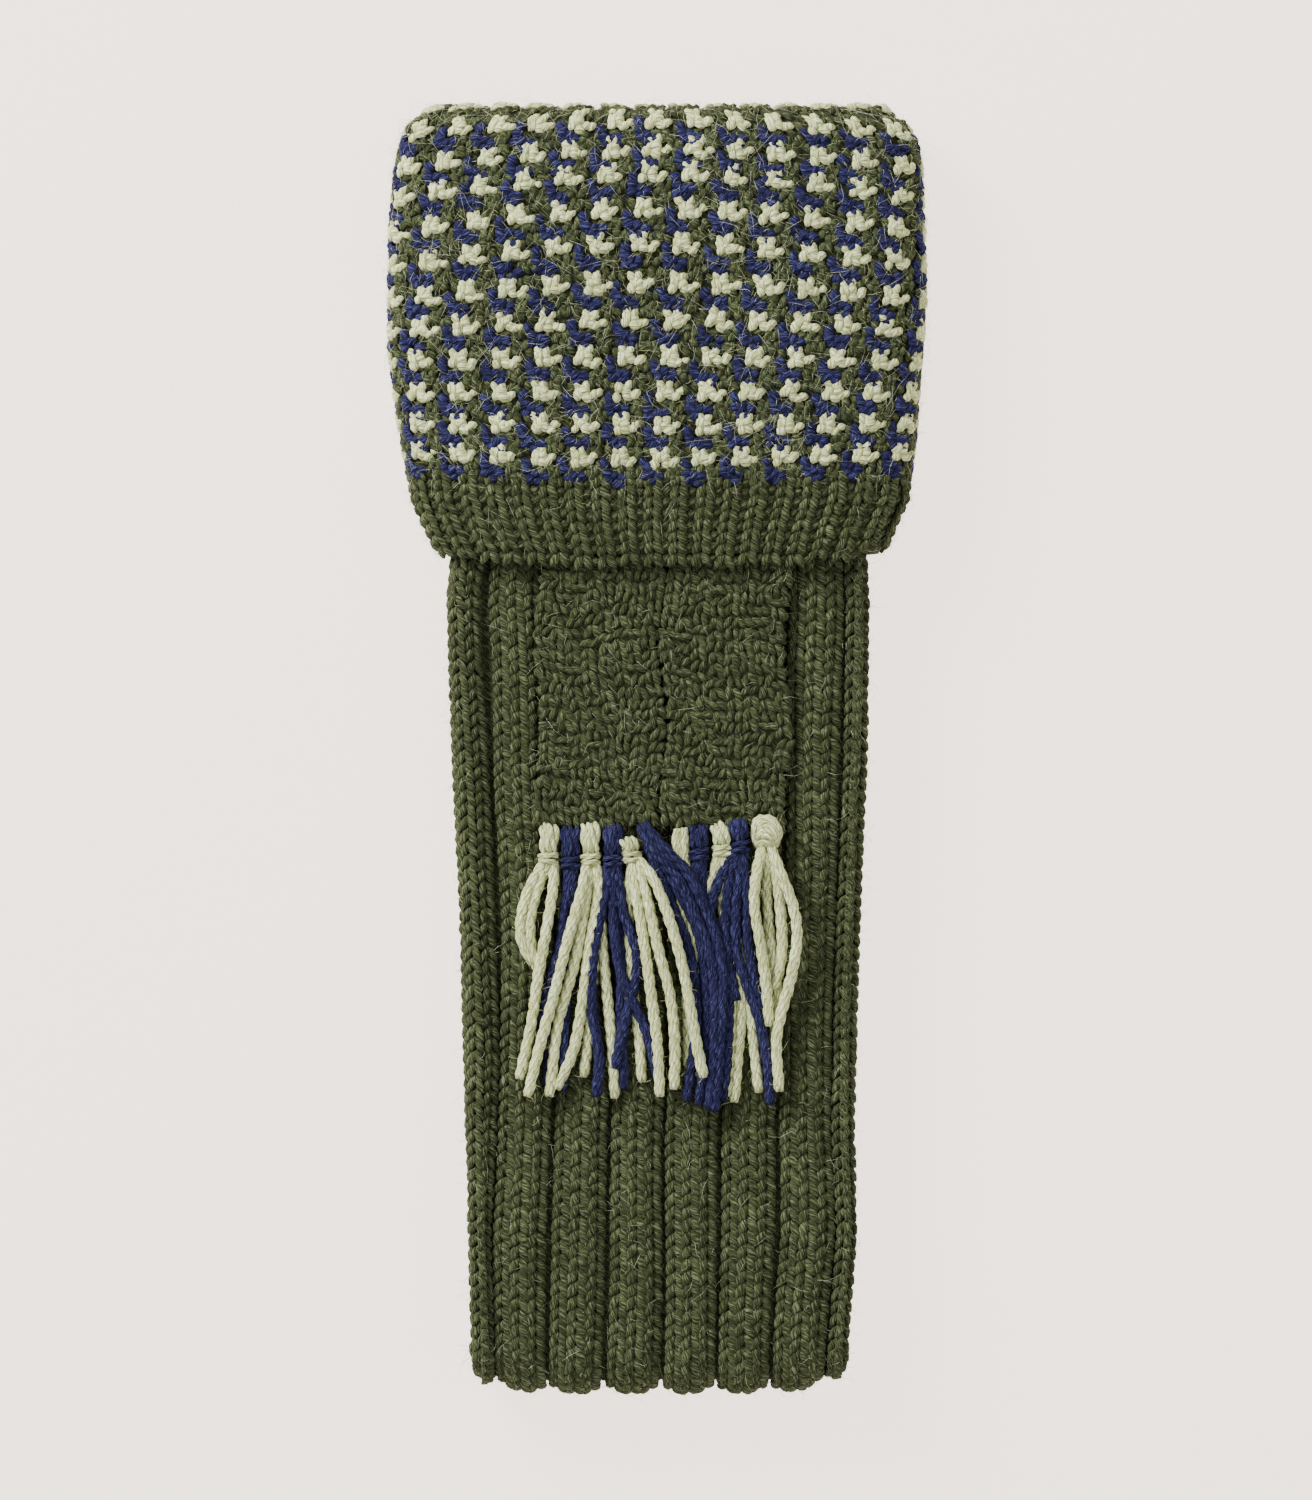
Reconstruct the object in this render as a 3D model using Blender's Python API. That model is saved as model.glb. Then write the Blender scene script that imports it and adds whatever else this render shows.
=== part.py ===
"""A hand-knitted field sock with a turned-over cuff and a fringed garter tie.

The sock lies flat on its back, folded under at the ankle, so the foot is
below the leg. Metres, +Z up from the surface that it lies on, +Y towards the
cuff, +X to the right of someone who looks down on its front. The origin is on
the surface, under the middle of the outline.
"""

import math

import bmesh
import bpy
from mathutils import Vector

# Overall sizes of the sock as it lies
SOCK_LENGTH = 0.3232
LEG_WIDTH = 0.1068
CUFF_OVERHANG = 0.0133
CUFF_WIDTH = LEG_WIDTH + 2 * CUFF_OVERHANG
FOOT_WIDTH = 0.0880
CLEARANCE = 0.0003

# Knitted walls and the hollows between them
LEG_WALL = 0.0030
LEG_HOLLOW = 0.0050
ANKLE_HOLLOW = 0.0025
MOUTH_HOLLOW = 0.0080
FOOT_HOLLOW = 0.0020
RIB_DEPTH = 0.0012
CUFF_WALL = 0.0032
BORDER_WALL = 0.0030
HEEL_WALL = 0.0019
HEEL_HOLLOW = 0.0009

# Lengths along the sock
CUFF_DEPTH = 0.0937
LIP_DEPTH = 0.0120
BORDER_DEPTH = 0.0195
BORDER_GIRTH_SHARE = 0.92
BORDER_RIB_WIDTH = 0.0070
BORDER_RIB_DEPTH = 0.0006
TOE_LENGTH = 0.0320
TOE_WALL_SHARE = 0.78
TOE_TO_BORDER = 0.0035
HEEL_REACH = 0.0265
HEEL_SIDE_GAP = 0.0010
HEEL_CORNER_SHARE = 0.93

# Garter tie: a band round the leg with two ends that hang below the cuff
BAND_WIDTH = 0.0190
BAND_DROP = 0.0010
GARTER_THICKNESS = 0.0025
TAB_WIDTH = 0.0303
TAB_LENGTH = 0.0860
TAB_RIPPLE = 0.0004
TAB_EDGE_SHARE = 0.85

# Fringe
STRAND_RADIUS = 0.00145
KNOT_LENGTH = 0.0075
KNOT_WIDTH = 0.0046
STRAND_START_SHARE = 0.7
FRINGE_LENGTH = 0.0700

# Heights above the surface, from the layers that lie on each other
FOOT_THICKNESS = FOOT_HOLLOW + 2 * LEG_WALL
LEG_THICKNESS = LEG_HOLLOW + 2 * LEG_WALL
ANKLE_THICKNESS = ANKLE_HOLLOW + 2 * LEG_WALL
HEEL_THICKNESS = HEEL_HOLLOW + 2 * HEEL_WALL
FOOT_LEVEL = FOOT_THICKNESS / 2
LEG_LEVEL = FOOT_THICKNESS + CLEARANCE + LEG_THICKNESS / 2
ANKLE_LEVEL = FOOT_THICKNESS + HEEL_THICKNESS + 2 * CLEARANCE + ANKLE_THICKNESS / 2
LEG_TOP = LEG_LEVEL + LEG_THICKNESS / 2
CUFF_THICKNESS = 2 * LEG_LEVEL
MOUTH_DROP = 0.0015

# Places along the sock
CUFF_TOP = SOCK_LENGTH / 2
CUFF_BOTTOM = CUFF_TOP - CUFF_DEPTH
BORDER_TOP = CUFF_BOTTOM - CLEARANCE
BORDER_BOTTOM = BORDER_TOP - BORDER_DEPTH
LIP_END = CUFF_TOP - LIP_DEPTH
LEG_START = LIP_END - CLEARANCE
FOLD_RADIUS = (ANKLE_LEVEL - FOOT_LEVEL) / 2
FOLD_LEVEL = (ANKLE_LEVEL + FOOT_LEVEL) / 2
FOLD_HALF = (ANKLE_THICKNESS + FOOT_THICKNESS) / 4
FOLD_Y = -SOCK_LENGTH / 2 + FOLD_RADIUS + FOLD_HALF
TOE_END = BORDER_BOTTOM - TOE_TO_BORDER
TOE_START = TOE_END - TOE_LENGTH
FOOT_END = TOE_START - CLEARANCE
BAND_BOTTOM = CUFF_BOTTOM - BAND_DROP
BAND_TOP = BAND_BOTTOM + BAND_WIDTH
TAB_TOP = BAND_BOTTOM - CLEARANCE
TAB_BOTTOM = TAB_TOP - TAB_LENGTH

# Ribs: grooves at even places over the flat of the leg, and one on each edge
GROOVES = 7
GROOVE_STEP = 0.32
CREST_FROM = 0.20
CREST_TO = 0.80
EDGE_ANGLES = (90, 60, 30, 0, -30, -60, -90)
FOLD_STEPS = 4

# Cuff section
CUFF_ROUNDNESS = 4.0
CUFF_COLUMNS = 44
ROLL_INWARD_SHARE = 0.45
ROLL_DEPTH_SHARE = 1.4
TOE_COLUMNS = 30

# Leg sections: how far down the straight run, the width and sideways drift as
# shares of the leg's width, and how much of the mouth's or ankle's form it has
LEG_ROWS = (
    # down, width, drift, mouth, ankle
    (0.000, 1.034, 0.006, 0.55, 0.00),
    (0.090, 1.021, 0.006, 0.15, 0.00),
    (0.224, 1.005, 0.004, 0.00, 0.00),
    (0.334, 0.985, 0.004, 0.00, 0.00),
    (0.375, 1.000, 0.002, 0.00, 0.00),
    (0.508, 0.983, 0.006, 0.00, 0.00),
    (0.641, 0.948, 0.007, 0.00, 0.00),
    (0.814, 0.923, 0.006, 0.00, 0.00),
    (0.858, 0.917, 0.010, 0.00, 0.50),
    (0.900, 0.912, 0.013, 0.00, 1.00),
    (1.000, 0.884, 0.006, 0.00, 1.00),
)

# Foot sections after the fold: how far along, and the width as a share
FOOT_ROWS = (
    # along, width
    (0.00, 1.050),
    (0.10, 1.020),
    (0.30, 0.990),
    (0.60, 1.000),
    (1.00, 1.000),
)

# Toe sections: how far along the toe, width and thickness as shares
TOE_ROWS = (
    # along, width, thickness
    (0.00, 1.00, 1.00),
    (0.35, 0.96, 1.00),
    (0.65, 0.83, 0.95),
    (0.86, 0.62, 0.85),
    (1.00, 0.34, 0.70),
)

# Cuff sections from the border up to the roll: how far up, and the width,
# thickness and drift as shares of the cuff's
CUFF_ROWS = (
    # up, width, thickness, drift
    (0.000, 0.934, 0.970, 0.006),
    (0.102, 0.958, 0.985, 0.004),
    (0.210, 0.974, 1.000, 0.001),
    (0.342, 0.994, 1.000, -0.001),
    (0.503, 1.000, 1.000, 0.002),
    (0.663, 0.995, 1.000, 0.000),
    (0.824, 0.983, 0.970, 0.003),
    (0.904, 0.971, 0.930, 0.007),
    (0.957, 0.938, 0.870, 0.004),
    (0.986, 0.890, 0.800, 0.002),
)

# Border sections: how far down it, width, thickness and drift as shares of the
# cuff's, and the wall's thickness as a share of its own
BORDER_ROWS = (
    # down, width, thickness, drift, wall
    (0.00, 0.936, 0.970, 0.006, 1.00),
    (0.28, 0.926, 0.968, 0.007, 1.00),
    (0.64, 0.880, 0.950, 0.006, 1.00),
    (0.88, 0.848, 0.930, 0.008, 0.85),
    (1.00, 0.827, 0.905, 0.009, 0.50),
)

# Garter ends: the inner edge of each beside the split between them
TABS = (
    # name, side, split edge
    ("garter_tab_left", -1, 0.0012),
    ("garter_tab_right", 1, 0.0019),
)

# Tassels: where the knot sits across the fringe, then the strands of its lock,
# each with its end across, its length as a share, its sideways bow and its
# layer. Places across are metres from the sock's middle.
TASSELS = (
    # name, colour, knot across, strands
    ("tassel_01", "cream", -0.0267, (
        (-0.0312, 0.43, -0.0040, 0),
        (-0.0341, 0.93, 0.0008, 0),
    )),
    ("tassel_02", "navy", -0.0216, (
        (-0.0268, 0.72, 0.0014, 0),
        (-0.0225, 0.98, 0.0012, 0),
    )),
    ("tassel_03", "cream", -0.0165, (
        (-0.0323, 1.00, 0.0003, 1),
        (-0.0270, 1.00, 0.0010, 1),
        (-0.0240, 0.97, 0.0026, 1),
    )),
    ("tassel_04", "navy", -0.0110, (
        (-0.0150, 0.99, -0.0022, 0),
        (-0.0024, 0.72, -0.0026, 0),
    )),
    ("tassel_05", "cream", -0.0066, (
        (0.0008, 0.99, 0.0006, 1),
        (0.0042, 0.97, 0.0020, 1),
        (0.0112, 0.91, 0.0022, 1),
    )),
    ("tassel_06", "navy", -0.0015, (
        (0.0162, 1.00, 0.0088, 1),
        (0.0144, 1.04, 0.0052, 1),
    )),
    ("tassel_07", "cream", 0.0060, (
        (0.0050, 0.86, 0.0000, 0),
        (0.0082, 0.92, 0.0004, 0),
    )),
    ("tassel_08", "navy", 0.0110, (
        (0.0128, 1.00, 0.0000, 0),
        (0.0136, 0.95, 0.0000, 0),
    )),
    ("tassel_09", "cream", 0.0161, (
        (0.0178, 0.99, 0.0012, 0),
        (0.0197, 1.01, 0.0020, 0),
    )),
    ("tassel_10", "navy", 0.0212, (
        (0.0283, 1.02, -0.0006, 0),
        (0.0176, 0.22, 0.0000, 1),
    )),
    ("tassel_11", "cream", 0.0271, (
        (0.0284, 0.68, -0.0022, 1),
        (0.0300, 0.55, 0.0018, 1),
        (0.0304, 0.98, 0.0052, 1),
    )),
)
STRAND_STEPS = 5
LAYERS_LEVEL = LEG_TOP + CLEARANCE + STRAND_RADIUS
LAYER_STEP = 2 * STRAND_RADIUS + CLEARANCE
KNOT_HEIGHT = 4 * STRAND_RADIUS + CLEARANCE

# Colours of the yarns, linear
GREEN_YARN = (0.052, 0.057, 0.028)
CREAM_YARN = (0.560, 0.570, 0.400)
NAVY_YARN = (0.022, 0.028, 0.085)
YARN_ROUGHNESS = 0.90


def clear_scene():
    """Remove whatever the file opened with."""
    for old in list(bpy.data.objects):
        bpy.data.objects.remove(old, do_unlink=True)


def collection(name):
    """A new collection under the scene's own."""
    made = bpy.data.collections.new(name)
    bpy.context.scene.collection.children.link(made)
    return made


def yarn_material(name, colour):
    """Plain wool of one colour."""
    material = bpy.data.materials.new(name)
    material.use_nodes = True
    shader = material.node_tree.nodes["Principled BSDF"]
    shader.inputs["Base Color"].default_value = (*colour, 1.0)
    shader.inputs["Roughness"].default_value = YARN_ROUGHNESS
    shader.inputs["Metallic"].default_value = 0.0
    material.diffuse_color = (*colour, 1.0)
    return material


def add_object(name, mesh, material, home):
    """An object with one material in a collection."""
    made = bpy.data.objects.new(name, mesh)
    made.data.materials.append(material)
    home.objects.link(made)
    return made


def cell_walls(cell, cells, columns, wrap):
    """The edges of a grid cell that no neighbour shares, as pairs of corners."""
    row, column = cell
    after = (column + 1) % columns if wrap else column + 1
    before = (column - 1) % columns if wrap else column - 1
    sides = (
        ((row - 1, column), (row, column), (row, after)),
        ((row + 1, column), (row + 1, after), (row + 1, column)),
        ((row, before), (row + 1, column), (row, column)),
        ((row, after), (row, after), (row + 1, after)),
    )
    return [(first, second) for beside, first, second in sides if beside not in cells]


def wall_mesh(name, outer, inner, wrap=True, missing=(), closed_end=False):
    """A closed wall between an outer and an inner grid of points.

    Each grid is a list of rings or rows. Cells in missing are left out, and
    the wall is closed round them and at its ends. With closed_end, the last
    ring is drawn shut across its thickness instead.
    """
    rows = len(outer)
    columns = len(outer[0])
    span = columns if wrap else columns - 1
    cells = {(i, j) for i in range(rows - 1) for j in range(span)} - set(missing)
    mesh_edit = bmesh.new()
    out = [[mesh_edit.verts.new(point) for point in ring] for ring in outer]
    into = [[mesh_edit.verts.new(point) for point in ring] for ring in inner]
    for cell in sorted(cells):
        i, j = cell
        k = (j + 1) % columns
        mesh_edit.faces.new((out[i][j], out[i][k], out[i + 1][k], out[i + 1][j]))
        mesh_edit.faces.new((into[i][j], into[i + 1][j], into[i + 1][k], into[i][k]))
        for (a, b), (c, d) in cell_walls(cell, cells, columns, wrap):
            if closed_end and a == c == rows - 1:
                continue
            mesh_edit.faces.new((out[a][b], into[a][b], into[c][d], out[c][d]))
    if closed_end:
        half = columns // 2
        for ring in (out[-1], into[-1]):
            for j in range(half):
                corners = (ring[j], ring[j + 1], ring[(columns - j - 1) % columns],
                           ring[(columns - j) % columns])
                mesh_edit.faces.new(tuple(dict.fromkeys(corners)))
    loose = [vert for vert in mesh_edit.verts if not vert.link_faces]
    bmesh.ops.delete(mesh_edit, geom=loose, context="VERTS")
    bmesh.ops.recalc_face_normals(mesh_edit, faces=mesh_edit.faces)
    mesh = bpy.data.meshes.new(name)
    mesh_edit.to_mesh(mesh)
    mesh_edit.free()
    return mesh


def mix(low, high, share):
    """The value a share of the way from low to high."""
    return low + (high - low) * share


def smooth_share(share):
    """A share that starts and ends gently."""
    return share * share * (3 - 2 * share)


def read_rows(rows, place):
    """Every column of a table of rows at a place between two of them."""
    if place <= rows[0][0]:
        return rows[0][1:]
    for upper, lower in zip(rows, rows[1:]):
        if place <= lower[0]:
            share = (place - upper[0]) / (lower[0] - upper[0])
            return tuple(mix(a, b, share) for a, b in zip(upper[1:], lower[1:]))
    return rows[-1][1:]


def leg_section(down):
    """Half width, half thickness, middle and level of the leg at a share down."""
    width, drift, mouth, ankle = read_rows(LEG_ROWS, down)
    hollow = mix(mix(LEG_HOLLOW, MOUTH_HOLLOW, mouth), ANKLE_HOLLOW, ankle)
    level = mix(LEG_LEVEL - MOUTH_DROP * mouth, ANKLE_LEVEL, ankle)
    return LEG_WIDTH * width / 2, hollow / 2 + LEG_WALL, LEG_WIDTH * drift, level


def rib_columns(front_ribs, back_ribs):
    """Columns round a flattened tube, front first and then the back.

    Each is its place over the flat part from -1 to 1, the angle that its
    surface faces, and 1 where it is a groove.
    """
    first = -GROOVE_STEP * (GROOVES - 1) / 2
    flat = []
    for rib in range(GROOVES - 1):
        groove = first + rib * GROOVE_STEP
        flat.append((groove, 1))
        flat.append((groove + CREST_FROM * GROOVE_STEP, 0))
        flat.append((groove + CREST_TO * GROOVE_STEP, 0))
    flat.append((-first, 1))
    columns = [(place, 90, groove * front_ribs) for place, groove in flat]
    columns += [(1, angle, 1 if angle == 0 else 0) for angle in EDGE_ANGLES]
    columns += [(place, -90, groove * back_ribs) for place, groove in reversed(flat)]
    columns += [(-1, 180 - angle, 1 if angle == 0 else 0) for angle in reversed(EDGE_ANGLES)]
    return columns


def plain_columns(flat_steps):
    """Columns round a flattened tube with no ribs."""
    places = [mix(-1, 1, step / flat_steps) for step in range(1, flat_steps)]
    columns = [(place, 90, 0) for place in places]
    columns += [(1, angle, 0) for angle in EDGE_ANGLES]
    columns += [(place, -90, 0) for place in reversed(places)]
    columns += [(-1, 180 - angle, 0) for angle in reversed(EDGE_ANGLES)]
    return columns


def flat_ring(columns, half_width, half_thickness, centre, up):
    """Points of one section of a flattened tube, facing front along up."""
    straight = half_width - half_thickness
    ring = []
    for place, angle, groove in columns:
        reach = half_thickness - groove * RIB_DEPTH
        across = place * straight + reach * math.cos(math.radians(angle))
        rise = reach * math.sin(math.radians(angle))
        ring.append(centre + Vector((across, 0, 0)) + up * rise)
    return ring


def flat_wall(columns, half_width, half_thickness, wall, centre, up):
    """The outer and the inner ring of a section of a flattened tube."""
    plain = [(place, angle, 0) for place, angle, _ in columns]
    outer = flat_ring(columns, half_width, half_thickness, centre, up)
    inner = flat_ring(plain, half_width - wall, half_thickness - wall, centre, up)
    return outer, inner


def fold_station(angle, middle):
    """Centre and facing of a section on the fold, at an angle round it."""
    turn = math.radians(angle)
    centre = Vector((middle, FOLD_Y - FOLD_RADIUS * math.sin(turn),
                     FOLD_LEVEL + FOLD_RADIUS * math.cos(turn)))
    return centre, Vector((0, -math.sin(turn), math.cos(turn)))


def heel_cells(first_row, last_row):
    """Grid cells on the back of the fold that the heel takes the place of."""
    flat_count = 3 * (GROOVES - 1)
    start = flat_count + 1 + len(EDGE_ANGLES)
    return [(row, start + column)
            for row in range(first_row, last_row) for column in range(flat_count)]


def fold_half_width(share):
    """Half width at a share of the way round the fold."""
    leg_half = leg_section(1.0)[0]
    foot_half = FOOT_WIDTH * FOOT_ROWS[0][1] / 2
    return mix(leg_half, foot_half, smooth_share(share))


def fold_half_thickness(share):
    """Half thickness at a share of the way round the fold."""
    return mix(ANKLE_THICKNESS, FOOT_THICKNESS, share) / 2


def fold_middle(share):
    """Sideways place of the section at a share of the way round the fold."""
    return mix(leg_section(1.0)[2], 0, smooth_share(share))


def make_leg(home, yarn):
    """The ribbed leg, from under the cuff's roll to the bottom of the fold."""
    columns = rib_columns(1, 1)
    stations = []
    for row in LEG_ROWS:
        half_width, half_thickness, middle, level = leg_section(row[0])
        centre = Vector((middle, mix(LEG_START, FOLD_Y, row[0]), level))
        stations.append((half_width, half_thickness, centre, Vector((0, 0, 1))))
    for step in range(1, FOLD_STEPS + 1):
        share = step / (2 * FOLD_STEPS)
        centre, up = fold_station(180 * share, fold_middle(share))
        if step == FOLD_STEPS:
            centre.z += CLEARANCE / 2
        stations.append((fold_half_width(share), fold_half_thickness(share), centre, up))
    walls = [flat_wall(columns, a, b, LEG_WALL, centre, up) for a, b, centre, up in stations]
    outer, inner = zip(*walls)
    last = len(stations) - 1
    mesh = wall_mesh("leg", outer, inner, missing=heel_cells(last - FOLD_STEPS, last))
    return add_object("leg", mesh, yarn, home)


def make_foot(home, yarn):
    """The foot, ribbed over the instep that faces the floor, plain on the sole."""
    columns = rib_columns(1, 0)
    stations = []
    for step in range(FOLD_STEPS, 2 * FOLD_STEPS):
        share = step / (2 * FOLD_STEPS)
        centre, up = fold_station(180 * share, fold_middle(share))
        if step == FOLD_STEPS:
            centre.z -= CLEARANCE / 2
        stations.append((fold_half_width(share), fold_half_thickness(share), centre, up))
    for along, width in FOOT_ROWS:
        centre = Vector((0, mix(FOLD_Y, FOOT_END, along), FOOT_LEVEL))
        stations.append((FOOT_WIDTH * width / 2, FOOT_THICKNESS / 2, centre, Vector((0, 0, -1))))
    walls = [flat_wall(columns, a, b, LEG_WALL, centre, up) for a, b, centre, up in stations]
    outer, inner = zip(*walls)
    mesh = wall_mesh("foot", outer, inner, missing=heel_cells(0, FOLD_STEPS))
    return add_object("foot", mesh, yarn, home)


def heel_profile(reach):
    """Middle line of the folded heel pouch from the leg's back to the sole.

    Three turns: off the leg, round the pouch's tip and onto the sole. Each
    point has the direction that faces out of the pouch.
    """
    leg_back = ANKLE_LEVEL - ANKLE_THICKNESS / 2 + LEG_WALL / 2
    sole = FOOT_THICKNESS - LEG_WALL / 2
    lower = FOOT_THICKNESS + CLEARANCE + HEEL_WALL / 2
    upper = lower + HEEL_WALL + HEEL_HOLLOW
    rim = FOLD_Y - CLEARANCE
    turns = (
        (rim, leg_back, upper, -1, 1),
        (FOLD_Y + reach, upper, lower, 1, -1),
        (rim, lower, sole, -1, 1),
    )
    turn_steps = 4
    profile = []
    for place, high, low, side, facing in turns:
        radius = (high - low) / 2
        for step in range(turn_steps + 1):
            angle = math.pi * step / turn_steps
            away = Vector((0, side * math.sin(angle), math.cos(angle)))
            middle = Vector((0, place, (high + low) / 2))
            profile.append((middle + away * radius, away * facing))
    return profile


def make_heel(home, yarn):
    """The heel pouch, pressed flat between the leg's back and the sole."""
    columns = 10
    half = fold_half_width(0.5) - fold_half_thickness(0.5)
    half_width = half * GROOVE_STEP * (GROOVES - 1) / 2 - HEEL_SIDE_GAP
    outer, inner = [], []
    for column in range(columns + 1):
        place = mix(-1, 1, column / columns)
        reach = HEEL_REACH * math.sqrt(1 - (HEEL_CORNER_SHARE * place) ** 2)
        shift = Vector((fold_middle(0.5) + half_width * place, 0, 0))
        profile = heel_profile(reach)
        outer.append([shift + point + facing * HEEL_WALL / 2 for point, facing in profile])
        inner.append([shift + point - facing * HEEL_WALL / 2 for point, facing in profile])
    return add_object("heel", wall_mesh("heel", outer, inner, wrap=False), yarn, home)


def round_points(half_width, half_thickness, count):
    """Evenly spaced points and facings round a full, rounded flat section."""
    fine = 720
    power = 2 / CUFF_ROUNDNESS
    trace = []
    for step in range(fine + 1):
        angle = math.pi - 2 * math.pi * step / fine
        cosine, sine = math.cos(angle), math.sin(angle)
        trace.append(Vector((half_width * math.copysign(abs(cosine) ** power, cosine),
                             half_thickness * math.copysign(abs(sine) ** power, sine))))
    lengths = [0.0]
    for first, second in zip(trace, trace[1:]):
        lengths.append(lengths[-1] + (second - first).length)
    points = []
    at = 0
    for step in range(count):
        wanted = lengths[-1] * step / count
        while lengths[at + 1] < wanted:
            at += 1
        share = (wanted - lengths[at]) / (lengths[at + 1] - lengths[at])
        point = trace[at].lerp(trace[at + 1], share)
        steep = CUFF_ROUNDNESS - 1
        slope = Vector((math.copysign(abs(point.x / half_width) ** steep, point.x) / half_width,
                        math.copysign(abs(point.y / half_thickness) ** steep, point.y)
                        / half_thickness))
        points.append((point, slope.normalized()))
    return points


def round_ring(half_width, half_thickness, middle, y, level, count, grooves=0.0):
    """One ring of a rounded section, every second point pressed in by grooves."""
    ring = []
    for index, (point, facing) in enumerate(round_points(half_width, half_thickness, count)):
        pressed = point - facing * (grooves if index % 2 else 0.0)
        ring.append(Vector((middle + pressed.x, y, level + pressed.y)))
    return ring


def cuff_level(thickness_share):
    """Height of the cuff's middle: its underside stays on the surface."""
    return CUFF_THICKNESS * thickness_share / 2


def make_cuff(home, yarn):
    """The turned-over cuff: outer wall, roll at the top and lip down the mouth."""
    outer, inner = [], []

    def ring_pair(out, into):
        outer.append(round_ring(*out, CUFF_COLUMNS))
        inner.append(round_ring(*into, CUFF_COLUMNS))

    for up, width, thickness, drift in CUFF_ROWS:
        a, b = CUFF_WIDTH * width / 2, CUFF_THICKNESS * thickness / 2
        y, level = mix(CUFF_BOTTOM, CUFF_TOP, up), cuff_level(thickness)
        middle = CUFF_WIDTH * drift
        # Inside the roll, the wall's inner face turns before the outer one
        y_in = min(y, CUFF_TOP - CUFF_WALL)
        ring_pair((a, b, middle, y, level), (a - CUFF_WALL, b - CUFF_WALL, middle, y_in, level))
    mouth_half, mouth_thick, mouth_middle, mouth_level = leg_section(0.0)
    lip_out = (mouth_half, mouth_thick)
    lip_in = (mouth_half - LEG_WALL, mouth_thick - LEG_WALL)
    last = CUFF_ROWS[-1]
    rim = (CUFF_WIDTH * last[1] / 2, CUFF_THICKNESS * last[2] / 2)
    level = mix(cuff_level(last[2]), mouth_level, 0.5)
    top = (mix(rim[0], lip_in[0], ROLL_INWARD_SHARE), mix(rim[1], lip_in[1], ROLL_INWARD_SHARE))
    hollow_top = (mix(rim[0] - CUFF_WALL, lip_out[0], 0.5), mix(rim[1] - CUFF_WALL, lip_out[1], 0.5))
    ring_pair((*top, mouth_middle, CUFF_TOP, level),
              (*hollow_top, mouth_middle, CUFF_TOP - CUFF_WALL, level))
    ring_pair((*lip_in, mouth_middle, CUFF_TOP - CUFF_WALL / 2, mouth_level),
              (*lip_out, mouth_middle, CUFF_TOP - ROLL_DEPTH_SHARE * CUFF_WALL, mouth_level))
    ring_pair((*lip_in, mouth_middle, LIP_END, mouth_level),
              (*lip_out, mouth_middle, LIP_END, mouth_level))
    return add_object("cuff", wall_mesh("cuff", outer, inner), yarn, home)


def make_border(home, yarn):
    """The narrow ribbed border along the cuff's lower edge."""
    girth = 2 * (CUFF_WIDTH + CUFF_THICKNESS) * BORDER_GIRTH_SHARE
    ribs = round(girth / BORDER_RIB_WIDTH)
    outer, inner = [], []
    for down, width, thickness, drift, wall_share in BORDER_ROWS:
        a, b = CUFF_WIDTH * width / 2, CUFF_THICKNESS * thickness / 2
        wall = BORDER_WALL * wall_share
        place = (CUFF_WIDTH * drift, mix(BORDER_TOP, BORDER_BOTTOM, down), cuff_level(thickness))
        outer.append(round_ring(a, b, *place, 2 * ribs, BORDER_RIB_DEPTH))
        inner.append(round_ring(a - wall, b - wall, *place, 2 * ribs))
    return add_object("cuff_border", wall_mesh("cuff_border", outer, inner), yarn, home)


def make_toe(home, yarn):
    """The plain toe cap, drawn shut at its end."""
    outer, inner = [], []
    for along, width, thickness in TOE_ROWS:
        a, b = FOOT_WIDTH * width / 2, FOOT_THICKNESS * thickness / 2
        y = mix(TOE_START, TOE_END, along)
        y_in = mix(TOE_START, TOE_END - LEG_WALL, along)
        outer.append(round_ring(a, b, 0, y, b, TOE_COLUMNS))
        wall = min(LEG_WALL, TOE_WALL_SHARE * b)
        inner.append(round_ring(a - LEG_WALL, b - wall, 0, y_in, b, TOE_COLUMNS))
    mesh = wall_mesh("toe", outer, inner, closed_end=True)
    return add_object("toe", mesh, yarn, home)


def leg_share(y):
    """How far down the leg's straight run a place is."""
    return (LEG_START - y) / (LEG_START - FOLD_Y)


def make_garter_band(home, yarn):
    """The band of the garter tie, round the leg under the cuff."""
    columns = plain_columns(6)
    walls = []
    for y in (BAND_TOP, BAND_BOTTOM):
        half_width, half_thickness, middle, level = leg_section(leg_share(y))
        outside = CLEARANCE + GARTER_THICKNESS
        walls.append(flat_wall(columns, half_width + outside, half_thickness + outside,
                               GARTER_THICKNESS, Vector((middle, y, level)), Vector((0, 0, 1))))
    outer, inner = zip(*walls)
    return add_object("garter_band", wall_mesh("garter_band", outer, inner), yarn, home)


def make_garter_tab(name, side, split, home, yarn):
    """One hanging end of the garter tie, with rippled rows and edges."""
    rows, columns = 14, 5
    base = LEG_TOP + CLEARANCE
    top, bottom = [], []
    for row in range(rows + 1):
        y = mix(TAB_TOP, TAB_BOTTOM, row / rows)
        ripple = TAB_RIPPLE * (1 if row % 2 else -1)
        line_top, line_bottom = [], []
        for column in range(columns + 1):
            across = split + side * TAB_WIDTH * column / columns
            edge = ripple * side if column == columns else 0
            rise = 0 if column in (0, columns) else ripple / 2
            rounded = GARTER_THICKNESS * (TAB_EDGE_SHARE if column in (0, columns) else 1.0)
            line_top.append(Vector((across + edge, y, base + rounded + min(rise, 0))))
            line_bottom.append(Vector((across + edge, y, base)))
        top.append(line_top)
        bottom.append(line_bottom)
    return add_object(name, wall_mesh(name, top, bottom, wrap=False), yarn, home)


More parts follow.
